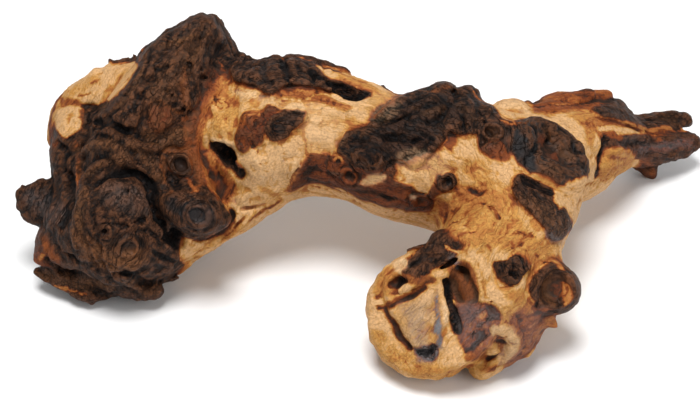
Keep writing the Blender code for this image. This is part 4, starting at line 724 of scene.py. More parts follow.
def shape_bridge_plates(root):
    """The bark along the top of the bridge, its long groove, and the dark red patch below."""
    root.area(
        (-62, 60.5), (-55, 59.5), (-47, 56.5), (-41, 53.5), (-33, 53.5), (-24, 52), (-16, 54.5),
        (-10, 53.5), (-3, 49.5), (1, 47.5), (-3, 45.5), (-11, 49.5), (-20, 50.5), (-16, 58.5),
        (-10, 62.5), (-25, 66.5), (-50, 65.5), (-61, 68.5), lift=0.6, edge=0.8, tone=0.45, depth=9,
    )
    root.area(
        (-57, 71.5), (-53.5, 75), (-44, 75.5), (-35.5, 74.5), (-34, 69.5), (-32, 74), (-25, 74),
        (-18.5, 72.5), (-15, 67.5), (-11, 62), (-7.5, 57.5), (-9.5, 56), (-15, 58), (-22, 59),
        (-30, 59.5), (-34.5, 57.5), (-38, 55.5), (-42, 55.5), (-46.5, 58), (-52.5, 60), (-58.5, 62),
        (-59.5, 67.5), lift=2.2, edge=0.8, tone=DARK, depth=12,
    )
    # The long groove and the slit beside it are painted near black, as painted shade.
    root.hollow(
        (-19, 65.5, 1, 2), (-12.5, 61.5, 2.5, 3.8), (-5, 56.5, 3.5, 4.6), (1.5, 53, 3, 3.8),
        (8.5, 54.5, 1, 1.5), tone=HOLLOW_SHADE,
    )
    root.hollow((-34, 71.5, 1, 2), (-32.5, 66.5, 1, 1.5), (-30.5, 59.5, 0.6, 1), tone=HOLLOW_SHADE)
    root.hollow((-50, 71.5, 0.3, 0.8), (-51.5, 66.5, 0.6, 1.1), (-50, 61.5, 0.3, 0.8))
    root.hollow((-44, 70.5, 0.3, 0.8), (-43, 64.5, 0.6, 1.1), (-39, 59.5, 0.3, 0.8))
    root.hollow((-27, 69.5, 0.3, 0.8), (-23, 64.5, 0.6, 1.1), (-17, 60.5, 0.3, 0.8))
    root.relief((-10, 45.5, 5), (1, 46.5, 5), (11.5, 49.5, 5.5), (19, 52, 4.5), lift=2.2, edge=1.0)
    root.relief((-5, 63.5, 3), (3, 59.5, 3.5), (12, 56.5, 3), lift=1.2, edge=0.9, tone=0.28)
    root.area(
        (-33.5, 6), (-30, 10.5), (-25, 16.5), (-22.5, 23), (-18.5, 26), (-13, 24.5), (-8, 24),
        (-2.5, 22.5), (6, 19.5), (17, 20), (22.5, 20), (23.5, 16), (22, 11), (27, 9.5),
        (32, 8.5), (35.5, 5), (39, 4.5), (41.5, 11), (45.5, 15.5), (50, 15.5), (53, 11.5),
        (52.5, 7), (46.5, 4.5), (43, 1.5), (41, -4.5), (34, -4.5), (24, -3), (15, -1),
        (5, 2), (-3, 6), (-12, 9), (-22, 9.5), (-28, 6.5),
        lift=0.9, edge=0.8, tone=0.72, depth=9,
    )
    root.area(
        (5, 10), (8, 13), (14, 14.5), (18, 13), (15, 10.5), (9, 8.5), lift=-0.4, edge=0.7,
        tone=0.2,
    )
    root.knot(-6, 21, 2.6, 2.6, rim=0.7, sink=1, moat=0.3, tone=0.25, heart=DARK)
    root.knot(-0.5, 14, 4.5, 4.5, rim=1.2, sink=1.5)
    root.knot(10, 21.5, 9, 6.5, rim=1.1, sink=0.6, tone=0.95)
    root.knot(35, 0.5, 5, 4.5, rim=0.6, sink=1.6)
    root.hollow((-25, 15.5, 0.2, 0.6), (-16, 16.5, 0.5, 0.9), (-8, 13.5, 0.2, 0.6))
    root.hollow((1, 6.5, 0.2, 0.6), (13, 4.5, 0.5, 0.9), (27, 0.5, 0.2, 0.6))


def shape_bridge_hole(root):
    """The hole in the pale wood, painted black as the shade in it, the red loop beside it and the
    dark oval knot.
    """
    root.area(
        (-56.5, 25.5), (-57.5, 31.5), (-56, 39.5), (-53.5, 45), (-49, 47), (-44.5, 46), (-42, 49.5),
        (-38.5, 50), (-36, 47), (-39.5, 43.5), (-43, 40.5), (-43.5, 34.5), (-44.5, 28.5),
        (-47.5, 29), (-50, 31), (-50.5, 26.5), (-53.5, 23.5), lift=1.4, edge=0.8, tone=0.68,
    )
    root.relief((-53, 39.5, 1.5), (-52, 44, 1.5), (-47, 44.5, 1.5), lift=1.2, edge=0.8, tone=0.42)
    root.area((-41, 30.5), (-32, 31.5), (-34, 27), (-37, 26), edge=0.7, tone=0.42)
    root.area(
        (-41, 42.5), (-35, 46.5), (-29, 49.5), (-24.5, 50), (-21.5, 46), (-21.5, 43), (-23.5, 39.5),
        (-28, 37), (-30, 33.5), (-33.5, 31.5), (-39, 31), (-42, 33.5), (-43.5, 38),
        lift=2.2, edge=0.9, tone=DARK,
    )
    root.hollow((-39, 38.5, 0.1, 0.6), (-34, 42.5, 0.4, 0.9), (-27, 45.5, 0.1, 0.6))
    root.hollow((-41, 34.5, 0.1, 0.6), (-35, 36.5, 0.4, 0.8), (-28, 41.5, 0.1, 0.6))
    root.area(
        (-63, 59.5), (-55, 53.5), (-56, 41.5), (-59, 30.5), (-55, 12.5), (-44, 3.5), (-40, -5.5),
        (-50, -16.5), (-62, -23.5), (-76, -29.5), (-85, -29.5), (-84.5, -17.5), (-77, -18.5),
        (-68, -16.5), (-62, -12.5), (-59.5, -6.5), (-64, 0), (-68, 6.5), (-72, 15.5),
        (-76, 25.5), (-74, 36.5), (-70.5, 48.5), lift=-1.2, edge=1.0, tone=PALE, depth=26,
    )
    root.relief(
        (-64, 58.5, 1.5), (-71, 48.5, 2.5), (-74.5, 36.5, 2.5), (-76.5, 25.5, 3), (-72, 13.5, 3),
        (-67, 1.5, 2), lift=0.5, edge=0.8, tone=0.45,
    )
    root.area(
        (-76, 26.5), (-69.5, 25.5), (-64, 19.5), (-59, 11.5), (-60, 5.5), (-65, 1.5), (-69.5, 8.5),
        (-73.5, 16.5), lift=0.6, edge=0.9, tone=0.42, depth=14,
    )
    # The hole is painted near black, as painted shade inside it.
    root.hollow(
        (-67.5, 29, 2, 2.4), (-62.5, 26.5, 4, 4.6), (-58, 22, 5, 5.2), (-55, 15.5, 3, 3),
        tone=HOLLOW_SHADE,
    )
    root.relief((-68.5, 31, 1.2), (-63.5, 31, 1.6), (-58, 29, 1.2), lift=1.2, edge=0.8, tone=PALE)
    root.hollow(
        (-64, 1.5, 0.6, 1), (-59.5, -5, 1.4, 2), (-61, -12, 1.6, 2.2), (-68, -17, 1.6, 2),
        (-77, -18.5, 0.8, 1.2), tone=0.7, blend=1.5,
    )
    root.relief(
        (-77, -23.5, 2), (-67, -20.5, 2.6), (-56, -13.5, 2.6), (-47, -4.5, 2), lift=0.9, edge=0.8,
        tone=0.2,
    )
    root.hollow(
        (-72, -21.5, 0.2, 0.7), (-62, -16.5, 0.6, 1.1), (-52, -6.5, 0.2, 0.7), tone=0.3, blend=1.5,
    )
    root.knot(-64.5, 50, 4, 2, turn=-0.9, rim=0.6, sink=1, tone=0.85)
    root.knot(-44.5, 19.5, 1.3, 2, rim=0.0, sink=1.5, moat=0.0, tone=0.7)
    root.knot(-65, 2.5, 2.2, 4.2, turn=0.5, rim=0.2, sink=1.8, tone=DARK)
    root.relief((-42, 28.5, 1), (-38, 21.5, 1.6), (-32, 15.5, 1), lift=0.9, edge=0.8)
    root.relief((-31, 26.5, 1), (-26.5, 19, 1.6), (-33, 8.5, 1), lift=0.9, edge=0.8)
    root.relief((-50, 26.5, 1.2), (-52, 20.5, 1.6), (-49, 12.5, 1.2), lift=0.8, edge=0.8)
    root.relief((-68, 47.5, 2.5), (-66, 39.5, 3.5), (-63, 33.5, 2.5), lift=1.2, edge=0.9)
    root.relief((-55, 1.5, 3), (-46, 5.5, 3.5), (-37, 6.5, 3), lift=1.2, edge=0.9)
    root.hollow((-62, -5.5, 0.2, 0.8), (-53, -2.5, 0.6, 1.2), (-41, -0.5, 0.2, 0.8), blend=1.6)


def shape_fork(root):
    """The thick middle, where the leg and the right branch part, with its dark burl."""
    root.limb((50, 24, 62, 28), (75, 15.5, 57, 28), (89, 8.5, 52, 26), blend=10)
    root.limb(
        (7.5, 30.5, 71, 11), (17.5, 34, 75, 13.5), (27.5, 36, 78, 15), (40, 41, 80, 15),
        (48.5, 45, 80, 13.5), (59, 48, 79, 8.5), tone=DARK, blend=4,
    )
    root.limb((74, 43.5, 70, 5), (78, 44.5, 72, 7), (82, 47.5, 73, 5.5), tone=PALE, blend=4)
    root.area(
        (-7, 25.5), (-5, 31.5), (-2, 36), (3, 36), (9, 40), (16, 45.5), (21, 50.5),
        (27.5, 54.5), (37.5, 58), (47.5, 61.5), (53.5, 57.5), (58, 60), (64.5, 57.5), (66, 50.5),
        (71.5, 48),
        (69.5, 43), (66, 37.5), (65.5, 34.5), (59, 34), (53, 34.5), (50, 36.5), (48, 32),
        (43.5, 27), (39, 22.5), (35, 18.5), (31, 17), (27, 20.5), (21, 21.5), (17, 18.5),
        (8, 18), (0, 21.5), lift=2.2, edge=0.8, tone=DARK, depth=14,
    )
    root.hollow(
        (53.5, 58.5, 1, 1.5), (52.5, 53.5, 1.2, 1.8), (55, 45.5, 0.8, 1.4), (56, 37.5, 0.5, 1),
    )
    root.hollow(
        (11, 42.5, 0.3, 0.8), (18, 40.5, 0.8, 1.3), (26, 41.5, 0.8, 1.3), (34, 46.5, 0.3, 0.8),
    )
    root.hollow((23, 46.5, 0.2, 0.7), (31, 49.5, 0.6, 1.1), (40, 53.5, 0.2, 0.7))
    root.hollow((1, 30.5, 0.3, 0.8), (8, 27.5, 0.8, 1.3), (17, 26.5, 0.3, 0.8))
    # This fold is painted near black, as painted shade.
    root.hollow(
        (14, 33.5, 0.4, 0.9), (22, 32.5, 1, 1.6), (31, 30.5, 0.8, 1.3), (40, 31.5, 0.3, 0.8),
        tone=HOLLOW_SHADE,
    )
    root.hollow((39, 40.5, 0.3, 0.8), (45, 42.5, 0.8, 1.3), (50, 49.5, 0.3, 0.8))
    root.hollow((23, 25.5, 0.3, 0.8), (30, 23.5, 0.7, 1.2), (37, 25.5, 0.3, 0.8))
    root.relief((22.5, 45, 3), (32.5, 47.5, 3.5), (42.5, 52.5, 3), lift=1.6, edge=0.9)
    root.relief((17.5, 27.5, 3), (27.5, 25.5, 3.5), (37.5, 30.5, 3), lift=1.6, edge=0.9)
    root.relief((1, 25.5, 3), (11, 29.5, 3.5), (17, 34.5, 3), lift=1.4, edge=0.9)
    root.relief((58, 54.5, 3), (60, 47.5, 3.5), (59, 39.5, 3), lift=1.2, edge=0.9)
    root.area(
        (64.5, 50.5), (72, 48), (76.5, 42.5), (82, 39.5), (82, 31.5), (80.5, 23.5), (76.5, 21),
        (69, 22.5), (64, 28.5), (63.5, 38.5), lift=0.8, edge=0.8, tone=0.88, depth=14,
    )
    # This fold at the edge of the burl is painted near black, as painted shade.
    root.hollow((66, 45.5, 0.3, 0.8), (68, 39.5, 0.8, 1.3), (67, 31.5, 0.3, 0.8), tone=HOLLOW_SHADE)
    root.relief((49.5, 35.5, 2), (52, 31.5, 2.6), (49, 28.5, 2), lift=0.5, edge=0.5, tone=RED)
    root.relief((23.5, 18.5, 2.4), (27, 16.5, 3), lift=0.3, edge=0.5, tone=0.34)
    root.knot(49, 10.5, 4.6, 4.6, rim=1.0, sink=2.2)
    root.knot(71, 35, 5.5, 5, rim=1.5, sink=2.2)
    root.knot(72.5, 27.5, 6.5, 4.2, turn=-0.2, rim=0.6, sink=-1.2, tone=0.75)


def shape_leg(root):
    """The leg, which comes forward and down to its broken end."""
    root.limb(
        (81, 4, 50, 27.5), (77, -16.5, 43, 28.5), (66, -38.5, 38, 29), blend=9,
    )
    root.limb((60, -42.5, 40, 27), (45, -52.5, 36, 29), (40, -55.5, 29, 30.5), blend=6)
    root.limb((88, -43.5, 30, 19), (79, -59.5, 23, 19), blend=8)
    root.limb((67, -81.5, 8, 6.5), (78, -77.5, 10, 5.5), blend=4)
    root.limb((98, -41, 36, 11), (103.5, -44, 35, 11), tone=0.9, blend=3)
    root.knot(102.5, -43, 12, 11.5, rim=2.6, sink=3.0, moat=0.5, heart=0.6)
    root.area(
        (80.5, 8.5), (82, 12.5), (86, 15), (91, 13), (97.5, 9), (101.5, 7.5), (104, 4.5),
        (106, 0.5), (109, -4.5), (111, -11), (108, -16.5), (103, -19), (98.5, -15.5), (95, -11),
        (90.5, -5), (85, 0), (81.5, 4), lift=2.2, edge=0.8, tone=DARK, depth=12,
    )
    # The crevice at the upper edge of the plate is painted near black, as painted shade.
    root.hollow((87, 12, 1, 1.5), (94, 8.5, 2, 3), (100.5, 6.5, 1.5, 2.5), tone=HOLLOW_SHADE)
    root.knot(77, -34, 4.8, 4.4, rim=1.4, sink=-0.6, moat=0.5)
    root.knot(86, -29.5, 4.8, 6.4, turn=-0.5, rim=1.2, sink=-0.8, moat=0.5)
    root.knot(63, -26.5, 3.2, 2.4, rim=0.2, sink=1.5, tone=1.1)
    root.area(
        (81.5, -55.5), (90, -56), (97.5, -51.5), (103.5, -56.5), (105, -62.5), (99.5, -67),
        (93, -73.5),
        (85, -80.5), (79, -85.5), (77, -81.5), (82.5, -76), (86, -71), (85, -63.5),
        lift=-0.8, edge=0.8, tone=0.62, depth=12,
    )
    root.relief((60, -8.5, 3), lift=0.0, edge=0.5, tone=0.6)
    root.relief((69, -21.5, 3), lift=0.0, edge=0.8, tone=0.4)
    root.relief((77.5, -44.5, 2), (86, -46.5, 5), lift=0.0, edge=0.8, tone=0.3)
    crack = {"tone": 0.8, "blend": 1.0}
    root.hollow((60, 6.5, 0.3, 0.6), (64.5, 4.5, 0.6, 0.9), (68.5, 6, 0.3, 0.5), **crack)
    root.hollow((65, 1, 0.3, 0.5), (71, -2.5, 0.6, 0.9), (74, -7, 0.6, 1.2), **crack)
    root.hollow((48.5, -11.5, 0.5, 0.8), (53.5, -9.5, 0.4, 0.6), **crack)
    root.hollow((54, -16.5, 0.3, 0.5), (62, -14.5, 0.3, 0.5), **crack)
    root.hollow((80, -15.5, 0.3, 0.5), (91, -16.5, 0.5, 0.8), **crack)
    shape_hoof(root)


def shape_hoof(root):
    """The broken end of the leg: a pale standing wedge, rot pits, a slit and a brown hollow."""
    root.limb((44, -18.5, 57, 3), (44, -17.5, 62, 1.6), tone=0.8, blend=3)
    root.slice(35, -54.5, 37, outward=(-0.30, 0.05, 0.95), wide=60)
    root.area(
        (18, -37), (23, -33.5), (30, -32.5), (37, -29.5), (42, -30.5), (44.5, -35.5), (47, -45.5),
        (50, -55.5), (47, -63.5), (44, -71.5), (37, -72.5), (31, -70.5), (26, -63.5), (21, -54.5),
        (17, -46.5), lift=2.4, edge=0.9, tone=0.06,
    )
    # The recess and the slit are painted near black, as painted shade.
    root.hollow(
        (28.5, -31, 1, 1.4), (33.5, -28, 3, 2.6), (40, -26, 4, 3.2), (44.5, -27.5, 3, 2.4),
        tone=HOLLOW_SHADE,
    )
    root.hollow(
        (47.5, -29.5, 3, 2.2), (48.5, -40.5, 4, 2.4), (50.5, -50.5, 4, 2.4),
        (53.5, -64.5, 2.5, 1.5), tone=HOLLOW_SHADE,
    )
    root.area(
        (50, -34.5), (54, -30.5), (58, -32.5), (62, -38.5), (64, -44.5), (64, -49.5), (59, -50.5),
        (53.5, -48.5), (51, -42.5), lift=-3.0, edge=1.2, tone=0.5,
    )
    root.hollow((51, -29.5, 1.5, 2.5), (55, -31.5, 2, 3.0), (59, -36.5, 1, 2), tone=0.8)
    root.relief(
        (48, -21.5, 1.6), (54, -25.5, 2), (60, -32, 2.2), (64, -39.5, 2.2), (65.5, -48.5, 2),
        lift=2.4, edge=0.8, tone=0.08,
    )
    root.relief((51, -22.5, 1), (58, -26.5, 1.4), (64, -34.5, 1.4), lift=0.8, edge=0.8, tone=0.3)
    root.hollow((21, -40.5, 1.5, 2.5), (25, -39.5, 1.8, 2.8), tone=DARK)
    root.hollow((29, -38.5, 0.6, 1.2), (34, -36.5, 0.8, 1.3), (39, -35, 0.5, 1.0), tone=0.75)
    root.hollow((31, -42, 0.6, 1.1), (36, -40, 0.8, 1.3), (41, -38, 0.5, 1.0), tone=0.75)
    root.hollow(
        (14, -53, 0.4, 0.8), (22, -50.5, 0.8, 1.3), (29, -47.5, 0.9, 1.3), (37, -43.5, 0.4, 0.8),
        tone=0.62, blend=1.5,
    )
    root.hollow(
        (13, -47, 0.4, 0.8), (18, -45, 0.8, 1.2), (24, -44.5, 0.4, 0.8), tone=0.55, blend=1.5,
    )
    root.hollow(
        (18, -52.5, 0.3, 0.8), (20.5, -58.5, 0.6, 1.4), (24.5, -66, 0.7, 1.5),
        (29.5, -72, 0.8, 1.6), tone=0.5, blend=2,
    )
    root.hollow((35, -74.5, 1, 2), (39, -75.5, 1.5, 3), (42, -72.5, 1, 2.2), tone=0.85, blend=2)
    root.relief(
        (44.5, -48.5, 1.6), (45, -57.5, 2.2), (44, -67.5, 1.8), lift=0.8, edge=0.8, tone=0.2,
    )
    root.area(
        (53, -51.5), (60, -50.5), (68, -50), (74.5, -53.5), (75, -58.5), (70, -63.5), (64, -69.5),
        (58, -74.5), (55, -71), (53.5, -63.5), lift=-0.8, edge=1.0, tone=0.55,
    )
    root.area(
        (56.5, -77), (60, -69.5), (65, -63.5), (70, -59), (74.5, -59.5), (73.5, -64.5), (69, -71),
        (64, -77.5), (59, -79), lift=0.8, edge=0.8, tone=0.5,
    )
    root.hollow((61, -72.5, 0.3, 0.8), (64, -67.5, 0.8, 1.2), (68, -62.5, 0.3, 0.8), tone=1.0)
    root.relief(
        (72.5, -62.5, 3.5), (79, -64.5, 5), (82, -71.5, 5.5), (79, -77.5, 4.5), lift=2.4, edge=0.7,
        tone=0.12,
    )
    root.relief((69, -70.5, 2.5), (73, -75.5, 3.5), (70, -81.5, 3), lift=1.6, edge=0.7, tone=0.15)
    root.hollow(
        (71, -70.5, 0.3, 0.8), (75, -69.5, 0.5, 1), (79, -71.5, 0.3, 0.8), tone=0.6, blend=1.2,
    )
    root.hollow(
        (69, -77.5, 0.3, 0.8), (74, -76.5, 0.6, 1.1), (79, -74.5, 0.3, 0.8), tone=0.6, blend=1.2,
    )
    root.relief((66, -84, 2.5), (71.5, -83, 3), lift=1, edge=0.6, tone=RED)
    root.limb((99, -58.5, 26, 4), (103.5, -62.5, 24, 1), tone=0.4, blend=3)


def shape_right_branch(root):
    """The branch that runs back and down to the table, with its bowl and its fingers."""
    root.limb(
        (89, 20.5, 50, 27), (105, 26, 44, 24.5), (120, 28.5, 37, 20.5), (131, 30, 31, 16.5),
        (141, 30.5, 26, 10.5), (150, 31, 22, 10), blend=8,
    )
    root.limb((112.5, 5.5, 28, 7), (124, 11.5, 24, 7), tone=PALE, blend=5)
    root.limb(
        (92.5, 48, 62, 4), (105, 51, 59, 5), (117.5, 51, 54, 5), (127, 52.5, 50, 3.2),
        tone=0.45, blend=4,
    )
    root.limb((124, 44.5, 45, 7), (133, 46, 41, 5.2), (139, 42.5, 37, 3.5), tone=DARK, blend=3)
    root.limb(
        (140, 39.5, 32, 5), (151, 40.5, 28, 5), (160, 40.5, 25, 4.8), (167, 40.5, 23, 3.8),
        tone=DARK, blend=3,
    )
    root.limb(
        (145, 29, 22, 11), (155, 29, 19, 9.5), (164, 29, 17, 7), (170.5, 29.5, 16, 4.6),
        tone=0.85, blend=4,
    )
    root.limb((146.5, 22.5, 10, 6.5), (149.5, 18, 5, 5), (150.5, 15.5, 2, 3.5), tone=0.7, blend=3)
    root.limb((142, 23.5, 12, 5), (143.5, 20, 9, 3), tone=0.7, blend=2)
    root.area(
        (91, 45), (93, 49.5), (98, 53.5), (105, 56), (112.5, 55.5), (120, 57.5), (126.5, 58.5),
        (131.5, 55.5),
        (129, 51.5), (123, 49.5), (120, 46.5), (105, 46), (97.5, 45), lift=0.8, edge=0.8,
        tone=0.42, depth=12,
    )
    root.knot(104, 28, 23.5, 20, rim=3.2, sink=7, moat=0.9, heart=0.6)
    # The left rim of the bowl is painted near black, as painted shade.
    root.hollow(
        (90, 40.5, 0.3, 0.9), (93, 34.5, 0.8, 1.4), (92, 26.5, 0.8, 1.4), (89, 21.5, 0.3, 0.9),
        tone=HOLLOW_SHADE,
    )
    root.hollow((97.5, 38.5, 0.3, 0.8), (99, 30.5, 0.6, 1.1), (97, 22.5, 0.3, 0.8))
    root.hollow((105, 37.5, 0.2, 0.7), (111, 33.5, 0.5, 1), (112, 26.5, 0.2, 0.7))
    root.relief((103, 34.5, 2), (105, 28.5, 2.4), (102, 22.5, 2), lift=1.2, edge=0.9)
    root.area(
        (120, 49.5), (125, 50.5), (130, 50), (134, 52.5), (137, 50), (139.5, 46), (143.5, 42.5),
        (149, 43.5),
        (157, 46.5), (166, 46.5), (171, 42.5), (170, 38.5), (164, 37.5), (157, 36), (147.5, 36),
        (140, 38.5), (131, 42), (122, 44.5), lift=1.2, edge=0.8, tone=DARK, depth=12,
    )
    root.area(
        (129.5, 32), (136, 34), (145, 34.5), (156, 33), (170, 35), (175.5, 30.5), (172.5, 24.5),
        (163, 20), (152.5, 18.5), (144, 21.5), (136, 23), (129, 26.5), lift=0.9, edge=0.8,
        tone=0.8, depth=12,
    )
    root.relief((125, 33.5, 3), (133, 34, 2.5), lift=0.4, edge=0.6, tone=0.52)
    # The slot is painted near black, as painted shade.
    root.hollow(
        (128, 32.5, 1.0, 1.5), (126.5, 26.5, 2.5, 2.3), (124.5, 19, 2.5, 2.2), (123.5, 13, 1, 1),
        tone=HOLLOW_SHADE,
    )
    root.hollow(
        (123, 43.5, 0.3, 0.8), (132, 40.5, 0.6, 1.1), (145, 36.5, 0.3, 0.8), tone=0.6, blend=1.5,
    )
    root.hollow((136, 30.5, 0.2, 0.7), (147.5, 29.5, 0.6, 1.1), (161, 28.5, 0.2, 0.7))
    root.hollow((149, 42, 0.2, 0.6), (157, 42.5, 0.5, 1), (165, 41.5, 0.2, 0.6))
    root.relief((131, 21.5, 6), (130, 15.5, 6), lift=0.8, edge=0.3, tone=0.1)
    root.relief(
        (125, 40.5, 3), (137.5, 38.5, 3), (147.5, 37, 2.5), (160, 37.5, 2.5), lift=0.2, edge=0.7,
        tone=0.4,
    )


def shape_far_side(root):
    """What grew on the sides turned away: plates, knots, furrows and a hollow."""
    root.relief((66, 30, 8), (90, 33, 9), (112, 26, 8), lift=1.8, edge=0.2, tone=DARK, view=BEHIND)
    root.relief(
        (112, -2, 9), (128, -14, 10), (142, -4, 7), lift=1.6, edge=0.25, tone=DARK, view=BEHIND,
    )
    root.knot(88, 12, 11, 8, turn=0.6, rim=2.2, sink=3.5, view=BEHIND)
    root.knot(124, 22, 7, 7, rim=1.8, sink=2.5, heart=0.6, view=BEHIND)
    root.relief((58, 22, 5), (30, 30, 7), (5, 27, 6), lift=1.6, edge=0.25, tone=DARK, view=BEHIND)
    root.relief((46, 8, 2.5), (18, 12, 3), (-8, 6, 2.5), lift=2, edge=0.9, view=BEHIND)
    root.hollow((54, -2, 1, 3), (40, 0, 3, 4.5), (26, 3, 1, 2.5), tone=DARK, view=BEHIND)
    root.knot(-22, 22, 8, 6, turn=-0.4, rim=1.8, sink=2.4, view=BEHIND)
    root.relief((-30, 4, 6), (-52, 0, 8), (-72, -8, 6), lift=1.6, edge=0.25, tone=0.8, view=BEHIND)
    root.hollow(
        (-60, 16, 0.5, 1.5), (-80, 8, 1.5, 2.5), (-104, -8, 0.5, 1.5), tone=DARK, view=BEHIND,
    )
    root.relief(
        (-96, 4, 5), (-118, -8, 6), (-136, -18, 4), lift=1.4, edge=0.3, tone=DARK, view=BEHIND,
    )
    root.knot(-78, -24, 5, 4, rim=1.2, sink=1.8, heart=0.6, view=BEHIND)
    root.knot(-32, -28, 6, 7, rim=1.8, sink=2.6, view=LEFT)
    root.hollow((20, 20, 0.5, 1.5), (24, 2, 1.5, 2.6), (18, -14, 0.5, 1.6), tone=DARK, view=LEFT)
    root.relief((-64, -6, 6), (-50, 2, 8), (-34, 4, 6), lift=1.6, edge=0.25, tone=DARK, view=RIGHT)
    root.knot(-68, -22, 6, 5, rim=1.4, sink=2.0, view=RIGHT)
    root.relief((-88, -16, 3), (-74, -10, 3.5), (-56, -14, 3), lift=2, edge=0.9, view=RIGHT)


def shape_root(root):
    """All of the root's forms, in the order in which they are worked."""
    shape_left_burl(root)
    shape_bridge(root)
    shape_fork(root)
    shape_leg(root)
    shape_right_branch(root)
    shape_far_side(root)
    root.bark()
    return root


def sample(root, cell, coarse):
    """The field on a fine lattice, worked out only near the skin."""
    boxes = root.boxes[:-1]
    low = boxes[:, 0].min(axis=0)
    high = boxes[:, 1].max(axis=0)
    low[2] = min(low[2], -4 * cell)
    ratio = round(coarse / cell)
    count = np.ceil((high - low) / coarse).astype(int) + 1
    index = np.indices(count).reshape(3, -1).T
    middle = low + (index + 0.5 - 0.5 / ratio) * coarse
    rough_gap, _ = root.fields(middle)
    values = np.repeat(rough_gap.reshape(count), ratio, axis=0)
    values = np.repeat(np.repeat(values, ratio, axis=1), ratio, axis=2).astype(np.float32)
    close = index[np.abs(rough_gap) < 1.3 * coarse]
    offsets = np.indices((ratio, ratio, ratio)).reshape(3, -1).T
    fine = (close[:, None] * ratio + offsets).reshape(-1, 3)
    gap, _ = root.fields(low + fine * cell)
    values[tuple(fine.T)] = gap
    return low, values


def wood_mesh(root, cell, coarse):
    """The skin as points and faces, in millimetres."""
    low, values = sample(root, cell, coarse)
    grid = openvdb.FloatGrid(3 * cell)
    grid.copyFromArray(np.clip(values, -3 * cell, 3 * cell))
    points, quads = grid.convertToQuads(0.0)
    return largest_body(low + points * cell, quads)


def largest_body(points, quads):
    """Only the faces of the largest closed skin, so that no bubble stays inside the wood."""
    label = np.arange(len(points))
    while True:
        lowest = label.copy()
        np.minimum.at(lowest, quads.ravel(), np.repeat(label[quads].min(axis=1), 4))
        lowest = lowest[lowest]
        if (lowest == label).all():
            break
        label = lowest
    quads = quads[label[quads[:, 0]] == np.bincount(label).argmax()]
    used, quads = np.unique(quads, return_inverse=True)
    return points[used], quads.reshape(-1, 4)


def joined_mesh(name, points, quads):
    mesh = bpy.data.meshes.new(name)
    mesh.from_pydata((points * MM).tolist(), [], quads[:, ::-1].tolist())
    return mesh


def thinned(mesh, triangles):
    """The mesh brought down to about so many triangles, dense only where it bends."""
    obj = bpy.data.objects.new("full", mesh)
    bpy.context.collection.objects.link(obj)
    thin = obj.modifiers.new("thin", "DECIMATE")
    thin.ratio = triangles / (2 * len(mesh.polygons))
    graph = bpy.context.evaluated_depsgraph_get()
    result = bpy.data.meshes.new_from_object(obj.evaluated_get(graph))
    bpy.data.objects.remove(obj, do_unlink=True)
    return result


def cut_feet(mesh):
    """Everything under the table's level is cut off, which leaves the flat feet."""
    bm = bmesh.new()
    bm.from_mesh(mesh)
    bmesh.ops.bisect_plane(
        bm, geom=bm.verts[:] + bm.edges[:] + bm.faces[:], dist=1e-6,
        plane_co=(0, 0, FOOT_LEVEL * MM), plane_no=(0, 0, 1), clear_inner=True,
    )
    rims = [edge for edge in bm.edges if edge.is_boundary]
    bmesh.ops.triangle_fill(bm, edges=rims, use_beauty=True, normal=(0, 0, -1))
    bmesh.ops.recalc_face_normals(bm, faces=bm.faces[:])
    bmesh.ops.triangulate(bm, faces=bm.faces[:])
    bm.to_mesh(mesh)
    bm.free()


PIECE = "root_wood"
FINE_CELL = 1.0
FINE_TRIANGLES = 190000

GUIDE_GRAIN = np.array([0.07, 0.05, 0.06])
GUIDE_RADIUS = 26
GUIDE_BLEND = 7.0
FLOW_ROUNDS = 10

FINE_ROUNDS = 4
WIDE_ROUNDS = 30

FOLD_SIZE = 5.0
FOLD_LIFT = 0.6
FOLD_LEVEL = 0.17
RIDGE_SIZE = 2.4
RIDGE_LIFT = 0.22
PIT_SIZE = 2.2
DARK_PIT_LIFT = 0.12
PALE_PIT_LIFT = 0.08
RING_WIDTH = 2.6
RING_LIFT = 0.22

STAIN_COLOURS = {
    "rust": (0.30, 0.085, 0.020, 1),
    "umber": (0.16, 0.065, 0.025, 1),
    # The grey stain is partly grey wood and partly painted sheen and glints on the dark bark; it also
    # greys painted shade in the bowl.
    "slate": (0.16, 0.155, 0.160, 1),
    "cream": (0.70, 0.49, 0.290, 1),
}
BROAD_SWING = 0.44
THIN_SWING = 0.40
PATCH_SWING = 0.30
VEIN_SWING = 0.10
# How much darker the creases and hollows are painted, as painted shade.
CREASE_SHADE_SWING = 0.22
WORN_BROWN = (0.125, 0.046, 0.019, 1)
GAP_BLACK = (0.006, 0.004, 0.003, 1)
WOOD_GLOSS = 0.14
BUMP_DEPTH = 0.0012
BUMP_SHARE = 0.9

FLOOR_COLOUR = (0.92, 0.92, 0.92, 1)
FLOOR_ROUGHNESS = 0.9
FLOOR_GLOSS = 0.1
FLOOR_HALF = 3.0
FLOOR_DROP = 0.0002

LIGHTS = (
    ("key", (-0.1, -0.28, 1.4), 0.6, 20),
    ("fill", (0.9, -0.9, 0.8), 1.2, 5.5),
    ("back", (0.2, 1.2, 1.2), 1.2, 5),
)
LIGHT_AIM = (0, 0, 0.05)
STUDIO_COLOUR = (1, 1, 1, 1)
STUDIO_LIGHT = 0.3
SENSOR_WIDTH = 36.0
PICTURE_WIDTH = 350.0


